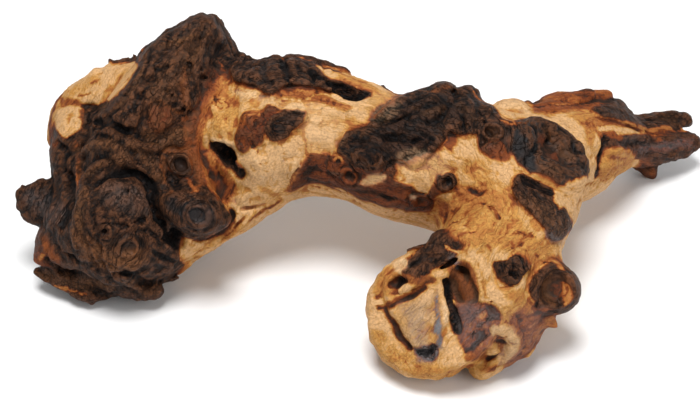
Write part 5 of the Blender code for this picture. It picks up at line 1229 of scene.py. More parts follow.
class Paint:
    """Colour laid on the skin in strokes."""

    def __init__(self):
        self.waiting = []
        self.strokes = []

    def stroke(self, *stations, edge=0.6, view=FRONT, **changes):
        """A stroke along stations: across, up, half width. It moves the tone or adds stains."""
        self.waiting.append((stations, edge, view, changes))

    def patch(self, *outline, edge=1.2, view=FRONT, **changes):
        """The same inside an outline, as a view sees it."""
        self.waiting.append((outline, edge, view, changes))

    def settle(self, root):
        """Each stroke and patch finds its place on the finished skin."""
        for view in (FRONT, BEHIND, LEFT, RIGHT):
            mine = [row for row in self.waiting if row[2] is view]
            if not mine:
                continue
            places = root.skin([station[:2] for row in mine for station in row[0]], view)
            first = 0
            for stations, edge, _, changes in mine:
                found = places[first:first + len(stations)]
                first += len(stations)
                if len(stations[0]) == 3:
                    work = self.along(found, stations, edge)
                else:
                    work = self.within(found, stations, edge, view)
                low, high = found.min(axis=0) - 14, found.max(axis=0) + 14
                self.strokes.append((low, high, work, changes))

    def along(self, found, stations, edge):
        chain = Chain([[*place, station[2]] for place, station in zip(found, stations)])
        return lambda rough: smoothstep(1, 1 - edge, chain.reach(rough)[1])

    def within(self, found, outline, edge, view):
        outline = curve(np.vstack([outline, outline[:1]]), 3)[:-1]
        near = view.seen(found)[1].min() - 12

        def work(rough):
            spots, away = view.seen(rough)
            return smoothstep(-edge, edge, depth_inside(outline, spots)) * (away > near)

        return work

    def lay(self, points, tone):
        """The tone with the strokes on it, and how much of each stain there is."""
        rough = points + EDGE_WARP * drift(points, EDGE_WARP_SIZE) + 0.8 * drift(points, 3.2)
        stains = {name: np.zeros(len(points)) for name in STAIN_COLOURS}
        for low, high, work, changes in self.strokes:
            near = np.flatnonzero(((points > low) & (points < high)).all(axis=1))
            if not len(near):
                continue
            cover = work(rough[near])
            for name, amount in changes.items():
                target = tone if name == "tone" else stains[name]
                target[near] += (amount - target[near]) * cover
        return tone, stains


class DressedRoot(Root):
    """The root, with its knots remembered, because the grain runs round them."""

    def __init__(self):
        super().__init__()
        self.knots = []

    def knot(self, across, up, wide, tall, **rest):
        place, frame = super().knot(across, up, wide, tall, **rest)
        self.knots.append((place, frame, wide, tall))
        return place, frame


def paint_shell(paint):
    """The pale shell at the upper left, with its dark rim and cracks."""
    paint.stroke(
        (-144, 54, 1.5), (-148, 48, 2.5), (-150, 41.5, 2.5), (-150, 35.5, 2.5), (-147.5, 29, 2.5),
        tone=0.6,
    )
    paint.stroke(
        (-134.5, 46.5, 1.6), (-133.5, 37.5, 2.2), (-136, 28.5, 3), (-135, 20.5, 3), tone=0.62,
        umber=0.4,
    )
    paint.patch(
        (-144, 55.5), (-135, 61.5), (-127, 65.5), (-125, 61.5), (-133, 55.5), (-139, 53),
        tone=0.14,
    )
    for x, y in ((-142, 55), (-138, 52), (-131, 59.5), (-126, 56.5)):
        paint.stroke((x, y, 0.4), (x + 6, y + 2.5, 0.7), (x + 13, y + 4.5, 0.3), tone=0.5)
    paint.stroke((-142, 45.5, 0.3), (-141, 39.5, 0.6), (-142, 34.5, 0.3), tone=0.3)
    paint.stroke(
        (-115, 65.5, 0.6), (-111, 60.5, 0.8), (-116, 53.5, 0.8), (-121, 49.5, 0.5), tone=0.5,
    )


def paint_ridge(paint):
    """The ridge to the peak: brown and reddish streaks down its folds."""
    paint.stroke((-72, 87.5, 7), (-83, 72.5, 9), (-95, 55.5, 9), umber=0.3)
    paint.stroke((-93.5, 78.5, 2), (-87, 81, 3), (-79, 83.5, 2), umber=0.7)
    paint.stroke((-76.5, 76.5, 2), (-78.5, 71.5, 2), umber=0.6)
    paint.stroke((-82, 68.5, 2), (-83.5, 57.5, 3.2), (-80.5, 47.5, 2.5), rust=0.4, tone=0.8)
    paint.stroke((-102, 70.5, 1.5), (-107, 59.5, 2.5), (-116, 48.5, 2), umber=0.4)
    paint.stroke((-100, 49.5, 1), (-93.5, 51, 1.4), (-86, 45.5, 1.4), (-79, 46.5, 1), rust=0.5)
    paint.patch(
        (-85, 42.5), (-79, 44.5), (-74, 45.5), (-76, 36.5), (-77, 25.5), (-73, 13.5), (-76, 10.5),
        (-81, 21.5), (-83, 31.5), tone=0.58, rust=0.25,
    )
    paint.patch(
        (-100.5, 50), (-93.5, 51.5), (-88, 47), (-87, 40), (-92, 35.5), (-99, 36), (-102.5, 42.5),
        edge=3, tone=0.74, rust=0.18,
    )
    paint.stroke((-100, 33.5, 5), (-92, 31.5, 6), (-83, 34.5, 5), umber=0.5)
    paint.stroke((-109, 28.5, 4), (-101, 22.5, 5), (-95, 13.5, 4), umber=0.4)
    paint.stroke((-66, 71.5, 1.4), (-62.5, 65.5, 1.8), (-59.5, 59, 1.4), tone=0.42)
    paint.stroke((-57, 70.5, 0.7), (-59, 62.5, 0.9), (-62, 57.5, 0.7), tone=0.4)


def paint_face(paint):
    """The folded face of the left burl, its flap, slab and lobes."""
    paint.stroke((-119, 4.5, 9), (-106, 0.5, 10), slate=0.15, umber=0.15)
    paint.stroke(
        (-136, -18.5, 6), (-127, -26.5, 9), (-113, -29.5, 9), (-103, -27.5, 6), umber=0.85,
        rust=0.2,
    )
    paint.stroke((-133, 6.5, 3), (-135, -5.5, 4), (-137, -18.5, 4), umber=0.65)
    paint.stroke((-134, 25.5, 4), (-123, 29.5, 5), (-114, 25.5, 4), umber=0.6)
    paint.stroke((-131, 15.5, 3), (-123, 20.5, 3.5), (-113, 22.5, 3.5), umber=0.55)
    paint.stroke((-136.5, 18.5, 2), (-136, 7.5, 2.4), rust=0.65)
    paint.stroke((-130.5, -18.5, 1.4), (-128.5, -25.5, 2), rust=0.55)
    paint.stroke((-152, -18.5, 4), (-150, -24.5, 5), (-146, -29.5, 3), rust=0.6, tone=0.62)
    paint.stroke((-154, -26.5, 2), (-156, -28.5, 1.5), tone=0.3)
    # Two small painted highlights on the left ridge of the face.
    paint.stroke((-132.5, 8.5, 0.9), (-132.5, 7, 0.7), cream=0.9)
    paint.stroke((-134, 0.5, 0.7), (-133, -1, 0.5), cream=0.8)
    paint.stroke((-160, 3.5, 6), (-152, -1.5, 9), (-146, -5.5, 8), slate=0.2, tone=0.95)
    paint.stroke((-157, -35.5, 3), (-140, -39.5, 5), (-121, -42, 5), umber=0.6)
    paint.stroke((-148, -41.5, 1.2), (-140, -44, 1.6), (-132, -45, 1.2), tone=0.38)
    paint.stroke((-111, -40.5, 4), (-99, -44, 5), umber=0.35)
    paint.stroke(
        (-92, 26.5, 2.5), (-85.5, 27.5, 3), (-76.5, 21.5, 3), (-74.5, 11.5, 3), (-79, 5.5, 2),
        rust=0.5, tone=0.6,
    )
    paint.stroke((-93, 22.5, 2), (-93, 13.5, 2.6), (-89, 5.5, 2), rust=0.45, tone=0.66)
    paint.stroke((-89, -0.5, 5), (-72, -6.5, 7), slate=0.12, tone=1.18)
    paint.stroke((-82, 11.5, 1), (-77, 6, 1.4), tone=0.42)


def paint_swath(paint):
    """The pale wood between the burl and the black hole, and the wood under it."""
    paint.patch(
        (-62, 55.5), (-56, 49.5), (-56, 41.5), (-60, 32.5), (-69, 32.5), (-72, 36.5), (-69, 46.5),
        tone=0.15,
    )
    paint.patch(
        (-76, 26.5), (-69, 26.5), (-63, 18.5), (-57, 9.5), (-64, 1.5), (-70, 8.5), (-74, 17.5),
        tone=0.40,
    )
    paint.stroke((-69, 25.5, 0.8), (-64, 18.5, 1.4), (-58, 9.5, 1), tone=0.52)
    paint.stroke((-73, 23.5, 0.6), (-69, 13.5, 1.2), (-65, 4.5, 0.8), tone=0.5)
    paint.stroke((-68, 31, 1.2), (-63, 30, 1.5), (-58.5, 28, 1), cream=0.8, tone=0)
    paint.patch(
        (-53, 22.5), (-46, 28.5), (-33, 30.5), (-24.5, 26.5), (-25, 16.5), (-33, 8.5), (-44, 7.5),
        (-51, 11.5), edge=4, cream=0.1, tone=-0.06,
    )
    for x, y in ((-49, 26.5), (-44, 28.5), (-38, 28.5), (-32, 27.5), (-46, 18.5), (-39, 17.5)):
        paint.stroke(
            (x, y, 0.4), (x + 2, y - 5, 0.9), (x + 7, y - 9, 0.5), edge=0.8, cream=0.9, tone=0,
        )
        paint.stroke((x + 3, y, 0.3), (x + 5, y - 4, 0.6), (x + 9, y - 7, 0.3), tone=0.34)
    for x, y, turn in (
        (-50, 21.5, 3), (-46, 25.5, 5), (-41, 22.5, 6), (-36, 26.5, 6), (-47, 13.5, 4),
    ):
        paint.stroke((x, y, 0.3), (x + 3, y - turn, 0.6), (x + 8, y - turn - 2, 0.3), tone=0.26)
    paint.stroke((-43.5, 6.5, 2.4), (-39, 5, 2.6), (-35, 2.5, 1.6), tone=0.27)
    paint.stroke((-51, -9.5, 1), (-44, -4.5, 1.7), (-34.5, 1, 1.4), tone=0.56)
    paint.stroke((-83, -28.5, 2), (-74, -27.5, 2.4), (-67, -23.5, 1.4), tone=0.34)
    paint.stroke((-81, -21.5, 0.5), (-70, -19.5, 0.9), (-59, -13.5, 0.5), tone=0.28)
    paint.stroke((-72, -23.5, 0.4), (-61, -17.5, 0.8), (-50, -8.5, 0.4), tone=0.3)
    paint.stroke((-58, 1.5, 3), (-52, -1.5, 4), (-44, 0.5, 3), tone=0.1, cream=0.3)
    paint.stroke((-60, -1.5, 0.4), (-55, -5.5, 0.7), (-49, -4.5, 0.4), tone=0.32)
    paint.stroke((-72.5, 45.5, 1), (-75, 36.5, 1.3), (-76, 27.5, 1.2), tone=0.4)


def paint_bridge(paint):
    """The top and front of the bridge: the band, the loop, the swirl, the lip and the strip."""
    paint.patch(
        (-31, 6.5), (-24, 13.5), (-20, 22.5), (-12, 22.5), (-2.5, 20.5), (7, 17.5), (20, 17.5),
        (21, 8.5), (32, 5.5), (40, 2.5), (40, -2.5), (25, -1.5), (5, 3.5), (-12, 10.5),
        (-23, 10.5), edge=1.5, tone=0.6,
    )
    for x, y in ((-25, 12.5), (-14, 15.5), (-2, 8.5), (13, 3.5), (1, 18.5)):
        paint.stroke((x, y, 0.5), (x + 7, y - 1, 1.4), (x + 15, y - 3, 0.6), tone=0.8)
    paint.stroke((-53, 26.5, 1.4), (-55, 37.5, 1.8), (-51, 44.5, 1.8), (-42, 48.5, 1.4), tone=0.56)
    paint.stroke((-47, 42.5, 2), (-47, 34.5, 3), (-49, 28.5, 1.6), tone=0.68)
    paint.stroke(
        (-57, 55.5, 2), (-44, 52.5, 3), (-29, 48.5, 3.4), (-16, 47.5, 3), cream=0.4, tone=0,
    )
    paint.stroke((-60, 57.5, 0.7), (-47, 54.5, 0.9), (-31, 51, 0.8), tone=0.42)
    paint.stroke((-50.5, 44, 0.8), (-46, 45, 1), tone=0.27)
    paint.stroke((-54, 39.5, 1), (-51, 44.5, 1), (-44, 46.5, 0.8), tone=0.45)
    paint.patch(
        (-22, 46.5), (-14, 47.5), (-5, 43.5), (-5, 31.5), (-12, 26.5), (-21, 27.5), (-24, 36.5),
        edge=3, cream=0.25, tone=0.02,
    )
    x, y = (-23, 30.5)
    for reach in (0, 3, 6):
        paint.stroke(
            (x + reach, y, 0.4), (x + 5 + reach, y + 6 + reach / 2, 0.8),
            (x + 12, y + 12 + reach / 3, 0.6),
            (x + 20, y + 12 - reach / 2, 0.3), tone=0.2,
        )
    paint.stroke((-31, 56.5, 2), (-23, 55, 2.4), (-17, 55.5, 2), tone=0.4)
    paint.stroke((-15, 53, 1.6), (-8, 50, 2.4), (0, 47.5, 1.8), tone=0.46)
    paint.stroke((-10, 67.5, 2), (1, 62.5, 3), (13, 56.5, 3), (22, 52.5, 2), tone=0.27)
    paint.stroke((-7, 64.5, 0.5), (3, 58.5, 0.9), (13, 54.5, 0.5), tone=0.45)
    paint.patch(
        (8, 51.5), (15, 56.5), (24, 55.5), (23, 45.5), (15, 41.5), (7, 43.5), edge=2.5, cream=0.15,
        tone=0.14,
    )
    for x, y in ((5, 41.5), (8.5, 41.5), (11.5, 41.5)):
        paint.stroke((x, y, 0.4), (x + 7, y + 6, 0.8), (x + 13, y + 12, 0.4), tone=0.26)
    paint.stroke(
        (-25, 5, 1.2), (-10, 3.5, 1.8), (6, -1.5, 2), (23, -8, 2.2), (40, -12, 2),
        tone=0.17,
    )
    paint.patch(
        (5, 10), (8, 13), (14, 14.5), (18, 13), (15, 10.5), (9, 8.5), edge=0.7, cream=0.5,
        tone=0.1,
    )
    paint.stroke((30, 2.5, 1.6), (32.5, 2.5, 1.6), cream=0.5)
    paint.stroke((23.5, 20.5, 1.6), (26, 16.5, 2), (27, 11.5, 1.4), tone=0.3)
    paint.patch(
        (25, 16.5), (23, 24.5), (35, 26.5), (48, 21.5), (50, 16.5), (43, 13.5), (39, 6.5),
        (32, 9.5), tone=0.10, cream=0.25,
    )
    paint.stroke((-22, 23.5, 0.8), (-27, 14.5, 1.2), (-33, 5.5, 0.8), tone=0.36)
    paint.stroke((-32, 6.5, 0.7), (-15, 8, 0.9), (1, 3.5, 0.9), (23, -4, 0.8), tone=0.42)


def paint_centre(paint):
    """The dark burl of the middle and the yellow fork under it."""
    paint.stroke((39, 56, 1.6), (46.5, 57.5, 2.4), (52, 55.5, 1.6), tone=0.6, rust=0.5)
    paint.stroke((49.5, 38.5, 1.8), (51.5, 32.5, 2.4), (50, 26, 1.6), tone=0.52)
    paint.patch(
        (-2, 28.5), (8, 37.5), (21, 48.5), (37, 55.5), (51, 55.5), (62, 51.5), (65, 39.5),
        (49, 37.5), (40, 26.5), (27, 22.5), (11, 21.5), edge=6, tone=1.2,
    )
    paint.stroke((31, 48.5, 2), (40, 45.5, 3), (48, 48.5, 2), umber=0.3)
    paint.stroke((5, 33.5, 1), (14, 38.5, 2), (23, 44.5, 1), umber=0.3)
    paint.stroke((71, 35, 4), (72.5, 27.5, 4), umber=0.3)
    paint.stroke((55, 48.5, 4), (62, 42.5, 4), umber=0.25)
    paint.patch(
        (54, 3.5), (68, 8.5), (81, 5.5), (87, -8.5), (97, -20.5), (95, -32.5), (75, -21.5),
        (60, -23.5), (48, -14.5), (45, -5.5), edge=4, tone=0.25,
    )
    cracks = (
        (60, 6, 6, -2), (65, 0.5, 10, -8), (49, -11.5, 5, 2), (54, -16.5, 8, 2), (78, -17, 13, 2.5),
        (81, -22, 7, 1.5), (92, -24.5, 5, -5),
    )
    for x, y, run, rise in cracks:
        paint.stroke(
            (x, y, 0.5), (x + run / 2, y + rise / 2 + 0.5, 1.1), (x + run, y + rise, 0.5),
            edge=0.4, tone=0.62,
        )
    for x, y in ((59, -7.5), (69, -21.5), (57.5, 26.5), (63, 17.5), (44, 22.5)):
        paint.stroke((x, y, 1.2), (x + 1.5, y - 0.5, 1), tone=0.5)
    veins = (
        (56, 1.5, 15, -4), (55, -3.5, 17, -8), (60, -11.5, 15, -7), (51, 22.5, 12, -3),
        (53, 15.5, 15, -4),
    )
    for x, y, run, rise in veins:
        paint.stroke(
            (x, y, 0.4), (x + run / 2, y + rise / 2 + 1, 0.8), (x + run, y + rise, 0.4), tone=0.27,
        )
    paint.stroke((49, 9.5, 1), (53, 6.5, 1.4), (56, 2.5, 0.8), tone=0.42)
    paint.stroke((75, 41.5, 1), (81, 39, 1.2), (88, 40.5, 0.8), tone=0.34)
    paint.stroke((76, 48.5, 3), (84, 49.5, 4), (88, 45.5, 3), cream=0.4)


def paint_bowl(paint):
    """The bowl knot with painted shade on its left inside, the dark patch under it with a painted
    glint, and the twin knots.
    """
    # Painted shade: the left inside of the bowl is painted near black with a little grey.
    paint.stroke((84, 35.5, 3), (86, 26.5, 6), (91, 18.5, 4), tone=1.26, slate=0.1)
    paint.stroke((99, 36.5, 4), (105, 29.5, 5), (111, 22.5, 4), umber=0.6, tone=0.85)
    paint.stroke((95, 19.5, 3), (103, 16.5, 3), umber=0.4)
    paint.stroke((89, 39.5, 2), (99, 42.5, 2.5), (109, 37.5, 2.5), (115, 28.5, 2.5), umber=0.3)
    paint.stroke((85, 1.5, 5), (98, -5.5, 7), (105, -11.5, 5), umber=0.5)
    # A grey-blue painted glint at the lower edge of the dark patch.
    paint.stroke((97.5, -14.5, 1.5), (103, -18.5, 2.5), (107.5, -19.5, 1.5), slate=0.5)
    paint.stroke((76.5, -34, 3), (85, -29.5, 3.6), tone=1.1)


def paint_branch(paint):
    """The right branch: orange ridge, fingers, flap and the pale wood between them."""
    paint.patch(
        (91, 48.5), (96, 53), (105, 55.5), (125, 56.5), (131, 54.5), (127, 49.5), (120, 47.5),
        (105, 45.5), (95, 45.5), edge=1.6, tone=0.48,
    )
    paint.stroke((105, 53.5, 0.8), (117, 54, 1.6), (127, 54.5, 0.8), tone=0.66)
    paint.stroke((95, 49.5, 0.6), (108, 49.5, 1.2), (123, 50.5, 0.6), tone=0.33)
    paint.patch(
        (108, 44.5), (120, 46.5), (125, 42.5), (123, 33.5), (120, 26.5), (117, 37.5), tone=0.3,
    )
    paint.stroke((123, 43.5, 2), (137, 39.5, 3), (153, 35.5, 2.4), tone=0.33)
    paint.stroke((124, 41.5, 0.6), (138, 38, 0.9), (152, 34.5, 0.6), tone=0.5)
    paint.stroke((124, 35.5, 2), (130, 33.5, 2.6), (136, 32.5, 2), tone=0.46)
    paint.patch(
        (126, 26.5), (133, 28.5), (142, 25.5), (142, 19.5), (136, 14.5), (128, 10.5), (124, 11.5),
        tone=0.25,
    )
    paint.stroke((128, 22.5, 0.5), (134, 21.5, 0.9), (140, 22.5, 0.5), tone=0.4)
    paint.stroke((127, 16.5, 0.5), (132, 17.5, 0.9), (138, 19.5, 0.5), tone=0.36)
    paint.stroke((145, 26.5, 3), (159, 28.5, 4), (170, 30.5, 4), tone=0.64, slate=0.35)
    paint.stroke((145, 32.5, 0.8), (155, 31.5, 1.2), (167, 31.5, 0.8), tone=0.4)
    paint.stroke((145, 21.5, 2), (151, 18.5, 3), (152, 14.5, 2.4), rust=0.5, tone=0.62)
    paint.stroke((153, 39.5, 1.4), (161, 36.5, 2), (169, 36.5, 1.4), tone=0.35)
    paint.stroke((132, 48.5, 3), (145, 43.5, 4), (163, 41.5, 3), umber=0.3, tone=0.9)
    paint.patch(
        (101, 7.5), (115, 12.5), (128, 10.5), (128, 5.5), (117, 1.5), (105, -2.5), tone=-0.02,
    )
    paint.stroke((103, 1.5, 0.5), (115, 6.5, 0.9), (127, 8.5, 0.5), tone=0.28)


def paint_leg(paint):
    """The stub knob, the broken end of the leg and its rough side."""
    paint.stroke((105, -40.5, 2.6), (109, -44.5, 3.4), (108, -50.5, 2.6), tone=0.36)
    paint.stroke((99, -36.5, 3), (97, -44.5, 4), (101, -50.5, 3), umber=0.45)
    paint.stroke((79, -45, 3), (84, -47.5, 4), (90, -50.5, 3.6), tone=0.25)
    paint.patch(
        (12, -44.5), (14, -35.5), (21, -30.5), (25, -34.5), (24, -41.5), (19, -46.5), tone=0.32,
    )
    paint.patch(
        (21, -29.5), (26, -27.5), (29, -30.5), (26, -34.5), (22, -33.5), edge=0.8, cream=0.6,
        tone=0,
    )
    paint.stroke((27, -36.5, 2.6), (34, -39.5, 3.4), (41, -38.5, 2.6), tone=0.5, umber=0.4)
    paint.stroke((13, -51.5, 1), (25, -47.5, 1.7), (38, -43.5, 1.2), tone=0.56)
    paint.patch(
        (25, -51.5), (40, -47.5), (40, -59.5), (39, -70.5), (32, -71.5), (28, -63.5),
        edge=2.5, slate=0.5, cream=0.1, tone=0.12,
    )
    for x, y in ((28, -52.5), (32, -52.5), (36, -52.5)):
        paint.stroke((x, y, 0.3), (x + 1, y - 8, 0.7), (x + 2, y - 16, 0.3), tone=0.24)
    paint.stroke((18, -52.5, 1), (22, -62.5, 1.8), (29.5, -72.5, 1.4), tone=0.52)
    paint.patch(
        (32, -71.5), (42, -70.5), (45, -75.5), (41, -79.5), (34, -79.5), tone=0.8, slate=0.8,
    )
    paint.stroke(
        (42.5, -44.5, 1.8), (44, -57.5, 2.6), (45, -70.5, 2.2), edge=0.7, slate=1.3, tone=0.4,
    )
    paint.stroke((47, -48.5, 1), (48.5, -57.5, 1.7), (50.5, -66.5, 1), cream=0.8, tone=0)
    # A grey-blue painted highlight on the top of the brown lobe.
    paint.stroke((49.5, -26.5, 2), (53, -29.5, 2.6), (54, -32.5, 2), slate=0.6)
    paint.patch(
        (49, -32.5), (57, -29.5), (64, -33.5), (65, -43.5), (62, -50.5), (54, -50.5), tone=0.52,
        umber=0.4,
    )
    paint.stroke(
        (48, -22.5, 1.4), (58, -26.5, 1.8), (64.5, -34.5, 1.8), (67, -45.5, 1.4), tone=0.12,
    )
    paint.patch(
        (53, -51.5), (64, -50.5), (74, -54.5), (75, -62.5), (70, -71.5), (62, -74.5), (55, -67.5),
        edge=4, tone=0.5, slate=0.42,
    )
    for x, y in ((55, -63.5), (57, -69.5), (61, -73.5)):
        paint.stroke((x, y, 0.5), (x + 8, y + 8, 1.2), (x + 16, y + 14, 0.5), tone=0.8, umber=0.3)
        paint.stroke((x + 2, y, 0.3), (x + 10, y + 7, 0.7), (x + 17, y + 12, 0.3), tone=0.25)
    paint.patch(
        (78, -54.5), (90, -51.5), (101, -55.5), (102, -60.5), (94, -69.5), (85, -78.5), (79, -83.5),
        (76, -73.5), edge=4, tone=0.44, slate=0.25, umber=0.1,
    )
    for x, y in ((81, -58.5), (85, -64.5), (89, -68.5), (80, -76.5)):
        paint.stroke((x, y, 0.4), (x + 6, y + 3, 1), (x + 13, y + 5, 0.4), tone=0.24)
    paint.stroke(
        (72, -64.5, 3), (79, -65.5, 4.5), (81, -72.5, 4.5), (75, -79.5, 3), edge=0.4, tone=0.1,
        cream=0.35,
    )
    for x, y in ((73, -65.5), (79, -69.5), (74, -74.5), (81, -63.5)):
        paint.stroke((x, y, 0.6), (x + 2.5, y - 1.5, 0.8), (x + 5, y - 1, 0.5), tone=0.6)
    paint.patch(
        (8, -63.5), (17, -63.5), (27, -73.5), (45, -81.5), (64, -79.5), (66, -87.5), (45, -87.5),
        (25, -84.5), (14, -76.5), edge=2.5, tone=0.2,
    )
    x, y = (11, -67.5)
    for drop in (0, 3, 6):
        paint.stroke(
            (x, y - drop, 0.4), (x + 12, y - 9 - drop / 2, 0.9), (x + 32, y - 15 - drop / 3, 0.9),
            (x + 51, y - 15 - drop / 3, 0.4), tone=0.27,
        )
    paint.stroke((21, -39.5, 1), (23.5, -41.5, 1), tone=0.6)
    paint.stroke((72, -38.5, 4), (77, -41.5, 4.5), edge=1, tone=0)


def paint_pale_wood(paint):
    """Broad golden areas on the fork and the leg, where the wood isn't bleached."""
    for x, y, wide in (
        (60, 18.5, 14), (51, 19.5, 8), (68, 13.5, 12), (95, -21.5, 10), (103, -29.5, 8),
    ):
        paint.stroke((x, y, wide / 2), (x + 3, y - 3, wide / 2), edge=1, tone=0.2)


def paint_front(paint):
    """Strokes of the side that is seen from the front, the broad ones first."""
    paint_pale_wood(paint)
    for paint_part in (
        paint_shell, paint_ridge, paint_face, paint_swath, paint_bridge, paint_centre,
        paint_bowl, paint_branch, paint_leg,
    ):
        paint_part(paint)


def paint_behind(paint):
    """Strokes of the far side: ragged edges of the dark plates, their orange fringes, cracks."""
    tongues = (
        (20, 35, -17, 2), (22, 13, -15, -4), (34, 12, 13, -7), (56, 12, 17, -7), (-24, 30, 15, 2),
        (-40, 12, 12, -9), (-62, 12, -12, -6), (112, 30, 12, -3), (114, 14, 12, 4), (84, -6, -14, -5),
        (-70, -6, -14, -6), (80, 2, -12, -6),
    )
    for x, y, run, rise in tongues:
        paint.stroke(
            (x, y, 3.2), (x + run / 2, y + rise, 2.2), (x + run, y + rise, 0.7), view=BEHIND,
            tone=0.85,
        )
    bites = (
        (17, 40, 14, -3), (17, 18, 16, 1), (-18, 39, -16, -2), (-19, 16, -17, 1), (-21, -1, -18, -3),
        (45, 8, 3, 9), (-50, 7, -4, 8), (-74, 30, 12, 3), (100, 2, 12, 8),
    )
    for x, y, run, rise in bites:
        paint.stroke(
            (x, y, 1.2), (x + run / 2, y + rise, 2.4), (x + run, y + rise, 0.8), view=BEHIND,
            tone=0.3,
        )
    fringes = (
        ((19, 9), (42, 9), (66, 9)), ((-22, 9), (-44, 8), (-70, 7)),
        ((-22, -7), (-46, -11), (-70, -15)),
        ((111, 44), (113, 28), (118, 12)),
    )
    for places in fringes:
        paint.stroke(*((x, y, 1.5) for x, y in places), view=BEHIND, tone=0.42)
    cracks = (
        (-104, -22, 7), (-84, -26, 5), (-58, -24, 4), (-30, -14, 3), (-12, -4, 2), (14, -12, 1),
        (34, -16, -2),
        (62, -14, -2), (80, -22, -3), (4, 14, 1), (-8, 34, 1),
    )
    for x, y, rise in cracks:
        paint.stroke(
            (x, y, 0.4), (x + 10, y + rise / 2, 0.9), (x + 20, y + rise, 0.4), view=BEHIND,
            tone=0.5,
        )
        paint.stroke(
            (x - 6, y + 4, 0.4), (x + 6, y + 4 + rise / 2, 1), (x + 22, y + 4 + rise, 0.4),
            view=BEHIND, tone=0.26,
        )
    paint.stroke((-70, 26, 4), (-90, 14, 5), (-108, 0, 4), view=BEHIND, umber=0.4)
    paint.stroke((96, 34, 8), (88, -10, 8), (104, -30, 7), view=BEHIND, umber=0.5)


def guides():
    """Curves that the grain follows: the burl, the long limb with the branch, and the leg."""
    rows = [
        [(-138, -34, 14), (-118, 0, 40), (-96, 36, 72), (-70, 84, 102)],
        [
            (-96, -40, 4), (-72, -12, 30), (-56, 20, 58), (-40, 34, 67), (-2.5, 34.5, 69),
            (45, 21.5, 62), (89, 15, 50), (120, 28.5, 37), (168, 29, 17),
        ],
        [(40, 34, 66), (62, 22, 60), (77, 2, 50), (74, -22, 40), (56, -48, 34), (36, -70, 20)],
    ]
    chains = [
        Chain([[*FRONT.at_height(*row), GUIDE_RADIUS] for row in stations]) for stations in rows
    ]
    for chain in chains:
        chain.grain = GUIDE_GRAIN
    return chains


def around_knots(points, knots):
    """Places from which the grain comes out bent round the knots."""
    bent = points.copy()
    for place, _, wide, tall in knots:
        size = 0.5 * (wide + tall)
        near = np.flatnonzero((np.abs(points - place) < 4 * size).all(axis=1))
        away = points[near] - place
        far = np.maximum(np.linalg.norm(away, axis=1) / size, 0.2)
        shift = np.minimum(1 / far, far) * smoothstep(4, 1.5, far)
        bent[near] -= (shift / far)[:, None] * away
    return bent


def grain_flow(points, edges, knots):
    """For each guide a place in which noise comes out drawn along the grain, and its share."""
    places = around_knots(points + 1.5 * drift(points, 22.0), knots)
    flows, gaps = [], []
    for guide in guides():
        gap, _, flow = guide.reach(places)
        flows.append(smooth_over(flow, edges, FLOW_ROUNDS))
        gaps.append(gap)
    gaps = np.array(gaps)
    share = np.exp(-(gaps - gaps.min(axis=0)) / GUIDE_BLEND)
    return flows, share / share.sum(axis=0)


def knot_rings(points, knots):
    """Rings in the knots: how far each point is moved out, in millimetres."""
    lift = np.zeros(len(points))
    for place, frame, wide, tall in knots:
        size = max(wide, tall)
        near = np.flatnonzero((np.abs(points - place) < 1.3 * size).all(axis=1))
        local = (points[near] - place + 0.3 * drift(points[near], 4.0)) @ frame
        out = np.hypot(local[:, 0], local[:, 1])
        here = smoothstep(1.1, 0.95, out) * smoothstep(1.1, 0.8, np.abs(local[:, 2]))
        ring = np.sin(2 * np.pi * out * size / RING_WIDTH)
        lift[near] += RING_LIFT * ring * here * smoothstep(0, 0.2, out)
    return lift


def smooth_over(values, edges, rounds):
    """Values evened out with their neighbours along the mesh's edges."""
    ends = np.concatenate([edges, edges[:, ::-1]])
    count = np.bincount(ends[:, 0], minlength=len(values)).astype(float)
    count = np.maximum(count, 1)
    for _ in range(rounds):
        total = np.stack(
            [np.bincount(ends[:, 0], column[ends[:, 1]], len(values)) for column in values.T], axis=1
        )
        values = 0.3 * values + 0.7 * total / count[:, None]
    return values


def mesh_arrays(mesh):
    """The points, normals and edges of a mesh, its lengths in millimetres."""
    points = np.empty(3 * len(mesh.vertices))
    mesh.vertices.foreach_get("co", points)
    normals = np.empty(3 * len(mesh.vertices), np.float32)
    mesh.vertex_normals.foreach_get("vector", normals)
    edges = np.empty(2 * len(mesh.edges), np.int32)
    mesh.edges.foreach_get("vertices", edges)
    return points.reshape(-1, 3) / MM, normals.reshape(-1, 3).astype(float), edges.reshape(-1, 2)


def small_relief(points, edges, tone, knots):
    """How far the small folds, ridges of grain and rings stand out, in millimetres."""
    flows, shares = grain_flow(points, edges, knots)
    dark = smoothstep(0.45, 0.8, tone)
    folds = np.zeros(len(points))
    ridges = np.zeros(len(points))
    for flow, share in zip(flows, shares):
        folds += share * np.abs(noise(flow / FOLD_SIZE + 3.3))
        ridges += share * noise(flow / RIDGE_SIZE)
    pits = noise(points / PIT_SIZE)
    on_dark = FOLD_LIFT * folds - FOLD_LEVEL + DARK_PIT_LIFT * pits
    on_pale = RIDGE_LIFT * ridges + PALE_PIT_LIFT * pits
    return dark * on_dark + (1 - dark) * on_pale + knot_rings(points, knots)


def dressed_mesh(root):
    """The fine skin with its small relief, cut flat at the feet."""
    points, quads = wood_mesh(root, FINE_CELL, 4 * FINE_CELL)
    mesh = joined_mesh(PIECE, points, quads)
    if 2 * len(quads) > FINE_TRIANGLES:
        mesh = thinned(mesh, FINE_TRIANGLES)
    points, normals, edges = mesh_arrays(mesh)
    _, tone = root.fields(points)
    points += normals * small_relief(points, edges, tone, root.knots)[:, None]
    mesh.vertices.foreach_set("co", (points * MM).ravel())
    cut_feet(mesh)
    mesh.name = PIECE
    return mesh


def add_values(mesh, name, kind, values):
    layer = mesh.attributes.new(name, kind, "POINT")
    field = {"FLOAT": "value", "FLOAT_VECTOR": "vector", "FLOAT_COLOR": "color"}[kind]
    layer.data.foreach_set(field, np.ascontiguousarray(values, np.float32).ravel())


